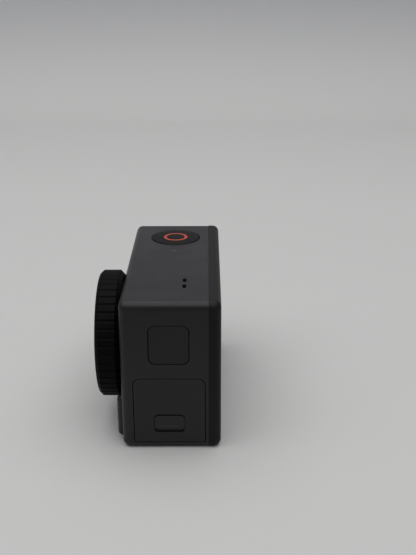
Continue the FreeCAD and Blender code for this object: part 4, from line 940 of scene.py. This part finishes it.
class ACTIONCAM_OT_shutter_button(Operator):
    """Makes the shutter button's cap, its bright ring and the spring under it"""
    bl_idname = "actioncam.shutter_button"
    bl_label = "Make the Shutter Button"

    def execute(self, context):
        colours, shapes, _ = settings()
        low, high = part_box("shutter_button")
        top, rim = high.z, shapes.button_radius
        seat = top - 0.42 * MM

        def dome(radius):
            """Height of the cap: its top less the dome times the square of the share of the radius."""
            return top - shapes.button_dome * (radius / rim) ** 2

        def domed(start, end, count):
            radius = np.linspace(start, end, count)
            return np.stack([dome(radius), radius], -1)

        shoulder = 0.32 * MM
        turn = np.linspace(0, np.pi / 2, 8)
        shoulder_arc = np.stack([dome(rim) - shoulder * (1 - np.cos(turn)),
                                 rim - shoulder * (1 - np.sin(turn))], -1)
        flange_top, flange_low, socket_top = low.z + 1.7 * MM, low.z + 1.0 * MM, low.z + 2.0 * MM
        flange, socket_radius, plunger = (high.x - low.x) / 2, 2.2 * MM, 1.2 * MM
        below = np.array([
            (flange_top, rim), (flange_top, flange), (flange_low, flange), (flange_low, socket_radius),
            (socket_top, socket_radius), (socket_top, plunger), (low.z, plunger), (low.z, 0.0)])
        outline = np.vstack([
            domed(0.0, shapes.ring_inner - 0.06 * MM, 10), [(seat, shapes.ring_inner - 0.03 * MM)],
            [(seat, shapes.ring_outer + 0.03 * MM)], domed(shapes.ring_outer + 0.06 * MM, rim - shoulder, 14),
            shoulder_arc[1:], below])
        skin = self.cap_finish(colours.button)
        cap = lathe("shutter_cap", outline, SHUTTER_CENTRE, "Z", 192, skin, "shutter", open_ends=True)
        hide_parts("shutter_button")
        level, foot = dome(shapes.ring_outer) - 0.02 * MM, seat + 0.01 * MM
        foot_radius, face_radius = 0.03 * MM, 0.12 * MM
        corners = [(foot, shapes.ring_inner, foot_radius), (foot, shapes.ring_outer, foot_radius),
                   (level, shapes.ring_outer, face_radius), (level, shapes.ring_inner, face_radius)]
        bright = spun_metal("bright ring", colours.ring, SHUTTER_CENTRE, metallic=0.35,
                            roughness=0.36, marks=12000.0)
        ring = lathe("shutter_bright_ring", rounded_outline(corners), SHUTTER_CENTRE, "Z", 160, bright,
                     "shutter")
        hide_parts("shutter_ring")
        self.coil_spring(colours)
        return {"FINISHED"}

    def cap_finish(self, base):
        """Moulded cap with faint rings from its turned mould, and a sheen painted brighter along its edges.
        """
        finish = Finish("cap skin", IOR=1.48, Specular_IOR_Level=0.12)
        spun = finish.use("spun", Vector=finish.about(SHUTTER_CENTRE), Scale=5200.0)
        grain = finish.use("grain", Scale=7000.0)
        edge = finish.use("edge", Radius=0.25 * MM)
        rings = finish.blend(spun["Height"], shade(base, 0.9), shade(base, 1.15))
        # Painted sheen: the base colour is lightened along the edges, standing for a sheen of light on them.
        finish.set("Base Color", finish.blend(edge["Edge"], rings, shade(base, 2.4)))
        finish.roughen(spun["Height"], 0.40, 0.50, 0.3, 0.7)
        finish.bump(grain["Height"], 0.006, 0.5, edge["Normal"])
        return finish.material

    def coil_spring(self, colours):
        """A helix: x = r cos a, y = r sin a, and z rises evenly, but for closed turns at both ends."""
        switch_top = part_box("shutter_switch")[1].z
        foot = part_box("shutter_button")[0].z + 1.0 * MM
        share = np.linspace(0, 1, 420)
        turns, radius, wire = 4.5, 3.6 * MM, 0.14 * MM
        start = switch_top - 0.8 * MM + wire
        rise = foot - 0.75 * MM - wire - start
        climb = start + rise * smoothstep(0.0, 1.0, share)
        angle = 2 * np.pi * turns * share
        path = np.stack([SHUTTER_CENTRE.x + radius * np.cos(angle),
                         SHUTTER_CENTRE.y + radius * np.sin(angle), climb], -1)
        steel = brushed("spring steel", colours.steel)
        spring = tube("shutter_spring", path, wire, 12, steel, "camera")


class ACTIONCAM_OT_screens(Operator):
    """Finishes both screens and the panels behind their glass"""
    bl_idname = "actioncam.screens"
    bl_label = "Finish the Screens"

    def execute(self, context):
        for side, panel_edge in (("rear", 4.0), ("front", 1.6)):
            low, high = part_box(side + "_cover_glass")
            middle = (low + high) / 2
            half_width = (high.x - low.x) / 2 - panel_edge * MM
            half_height = (high.z - low.z) / 2 - 0.55 * panel_edge * MM - 1.0 * MM
            glass = dark_glass(side + " screen glass", middle, half_width, half_height,
                               (0.009, 0.010, 0.014), (0.004, 0.004, 0.005))
            dress([side + "_cover_glass"], glass)
            panel = side + "_display_panel"
            dress([panel], display(side + " display cells", centre_of(panel)))
        return {"FINISHED"}


class ACTIONCAM_OT_microphones(Operator):
    """Lays the gauze under the microphone slots and the speaker grille"""
    bl_idname = "actioncam.microphones"
    bl_label = "Lay the Gauze"

    def execute(self, context):
        colours, _, _ = settings()
        gauze = woven_mesh("microphone gauze")
        low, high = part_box("top_microphones")
        width, half_length, half_width, thickness, squareness = 3.6 * MM, 1.3 * MM, 0.5 * MM, 0.1 * MM, 4.0
        for name, across in (("left", low.x + width / 2), ("right", high.x - width / 2)):
            place = (across, (low.y + high.y) / 2, high.z + 0.07 * MM)
            piece = pillow(f"microphone_gauze_{name}", place, half_length, half_width, thickness, squareness,
                           gauze, "camera")
        low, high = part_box("speaker_grille")
        middle = (low + high) / 2
        place, radius = (middle.x, middle.y, high.z + 0.05 * MM), 3.15 * MM
        weave = woven_mesh("speaker gauze", (0.05, 0.05, 0.052), 0.2)
        cloth = pillow("speaker_gauze", place, radius, radius, 0.08 * MM, 2.0, weave, "camera")
        dress(["speaker_grille"], moulded("grille grain", shade(colours.housing, 0.9)))
        dress(["speaker"], chip("speaker resin"))
        dress(["top_microphones"], brushed("microphone can", colours.steel))
        return {"FINISHED"}


class ACTIONCAM_OT_power(Operator):
    """Finishes the battery and the card, and lays the contacts of the card and the USB tongue"""
    bl_idname = "actioncam.power"
    bl_label = "Finish the Battery Side"

    def execute(self, context):
        colours, _, _ = settings()
        dress(["battery_pack"], wrapped_cell("cell wrap"))
        dress(["battery_pull_tab"], satin("tab film", colours.ring, 0.5))
        dress(["battery_cradle"], moulded("cradle grain", (0.03, 0.03, 0.031)))
        gold = brushed("gold plating", colours.gold, roughness=0.24)
        dress(["battery_contacts"], gold)
        dress(["memory_card"], chip("card resin", (0.022, 0.022, 0.024)))
        dress(["memory_card_socket"], brushed("socket steel", colours.steel))
        dress(["usb_receptacle"], brushed("USB shell steel", colours.steel))
        self.lay_card_contacts(gold)
        self.lay_usb_contacts(gold)
        return {"FINISHED"}

    def lay_card_contacts(self, gold):
        """Eight pads in a row on the card's rear face, at its inner end."""
        low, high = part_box("memory_card")
        row = low.z + (np.arange(8) + 0.75) * (high.z - low.z) / 8.5
        lows, highs = self.pad_row(high.x, high.y, row, 0.02 * MM, 0.4 * MM)
        pads = blocks("card_contacts", lows, highs, gold, "memory_card")

    def lay_usb_contacts(self, gold):
        """Twelve pads at a pitch of 0.5 mm on each face of the tongue."""
        low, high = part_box("usb_receptacle")
        middle = (low + high) / 2
        row = middle.z + (np.arange(12) - 5.5) * 0.5 * MM
        faces = [self.pad_row(high.x, middle.y + side * 0.35 * MM, row, 0.03 * MM, 0.14 * MM)
                 for side in (-1, 1)]
        lows, highs = (np.vstack([face[k] for face in faces]) for k in (0, 1))
        pads = blocks("usb_contacts", lows, highs, gold, "camera")

    def pad_row(self, end, face, row, proud, half_width):
        """The lowest and highest corners of pads that lie along X near an end and straddle a face."""
        far, near = 4.2 * MM, 1.2 * MM
        corners = ((end - far, face - proud, -half_width), (end - near, face + proud, half_width))
        return [np.stack([np.full(row.size, x), np.full(row.size, y), row + z], -1) for x, y, z in corners]


class ACTIONCAM_OT_electronics(Operator):
    """Finishes the boards and the parts on them"""
    bl_idname = "actioncam.electronics"
    bl_label = "Finish the Boards"

    def execute(self, context):
        colours, _, _ = settings()
        dress(["main_circuit_board", "sensor_board", "usb_board"],
              circuit_board("board mask", colours.board))
        dress(["processor", "shutter_switch", "quick_switch_switch"], chip("black resin"))
        self.solder_parts()
        return {"FINISHED"}

    def solder_parts(self):
        """Small chip capacitors in rows on the main board: their places are a fixed scatter over a grid."""
        low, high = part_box("main_circuit_board")
        chooser = np.random.default_rng(7)
        columns, rows = low.x + np.linspace(6, 22, 9) * MM, np.linspace(6, 36, 12) * MM
        across, up = np.meshgrid(columns, rows)
        keep = chooser.random(across.shape) < 0.55
        across, up = across[keep], up[keep]
        half = np.tile((0.5, 0.0, 0.26), (across.size, 1)) * MM
        spots = np.stack([across, np.full(across.size, high.y), up], -1)
        height = np.zeros_like(spots)
        height[:, 1] = 0.45 * MM
        parts = blocks("board_capacitors", spots - half, spots + half + height,
                       satin("capacitor ceramic", (0.20, 0.13, 0.08), 0.5), "camera")


class ACTIONCAM_OT_base(Operator):
    """Finishes the base plate and its screws"""
    bl_idname = "actioncam.base"
    bl_label = "Finish the Base"

    def execute(self, context):
        colours, _, _ = settings()
        dress(["base_plate"], anodised("plate metal", colours.metal, 0.42))
        dress(["base_screws"], brushed("screw steel", colours.steel, along=(8.0, 8.0, 1.0)))
        return {"FINISHED"}


class ACTIONCAM_PT_panel(Panel):
    """Lists the steps that make the camera"""
    bl_idname = "ACTIONCAM_PT_panel"
    bl_label = "Action Camera"
    bl_space_type = "VIEW_3D"
    bl_region_type = "UI"
    bl_category = "Camera"

    def draw(self, context):
        for operator in OPERATORS:
            self.layout.operator(operator.bl_idname)
        for group_name in PROPERTY_GROUPS:
            held = getattr(context.scene, group_name)
            for name in held.bl_rna.properties.keys():
                if name not in ("rna_type", "name"):
                    self.layout.prop(held, name)


OPERATORS = (ACTIONCAM_OT_stage, ACTIONCAM_OT_casing, ACTIONCAM_OT_doors, ACTIONCAM_OT_lens_cover,
             ACTIONCAM_OT_optics, ACTIONCAM_OT_shutter_button, ACTIONCAM_OT_screens, ACTIONCAM_OT_microphones,
             ACTIONCAM_OT_power, ACTIONCAM_OT_electronics, ACTIONCAM_OT_base)
PROPERTY_GROUPS = {"camera_colours": ActionCameraColours, "camera_shapes": ActionCameraShapes,
                   "camera_stage": ActionCameraStage}


def register():
    for kind in (*PROPERTY_GROUPS.values(), *OPERATORS, ACTIONCAM_PT_panel):
        bpy.utils.register_class(kind)
    for name, kind in PROPERTY_GROUPS.items():
        setattr(bpy.types.Scene, name, PointerProperty(type=kind))


def unregister():
    for name in PROPERTY_GROUPS:
        delattr(bpy.types.Scene, name)
    for kind in (ACTIONCAM_PT_panel, *reversed(OPERATORS), *PROPERTY_GROUPS.values()):
        bpy.utils.unregister_class(kind)


def main():
    """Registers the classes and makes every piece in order."""
    register()
    for operator in OPERATORS:
        category, name = operator.bl_idname.split(".")
        getattr(getattr(bpy.ops, category), name)()


if __name__ == "__main__":
    main()
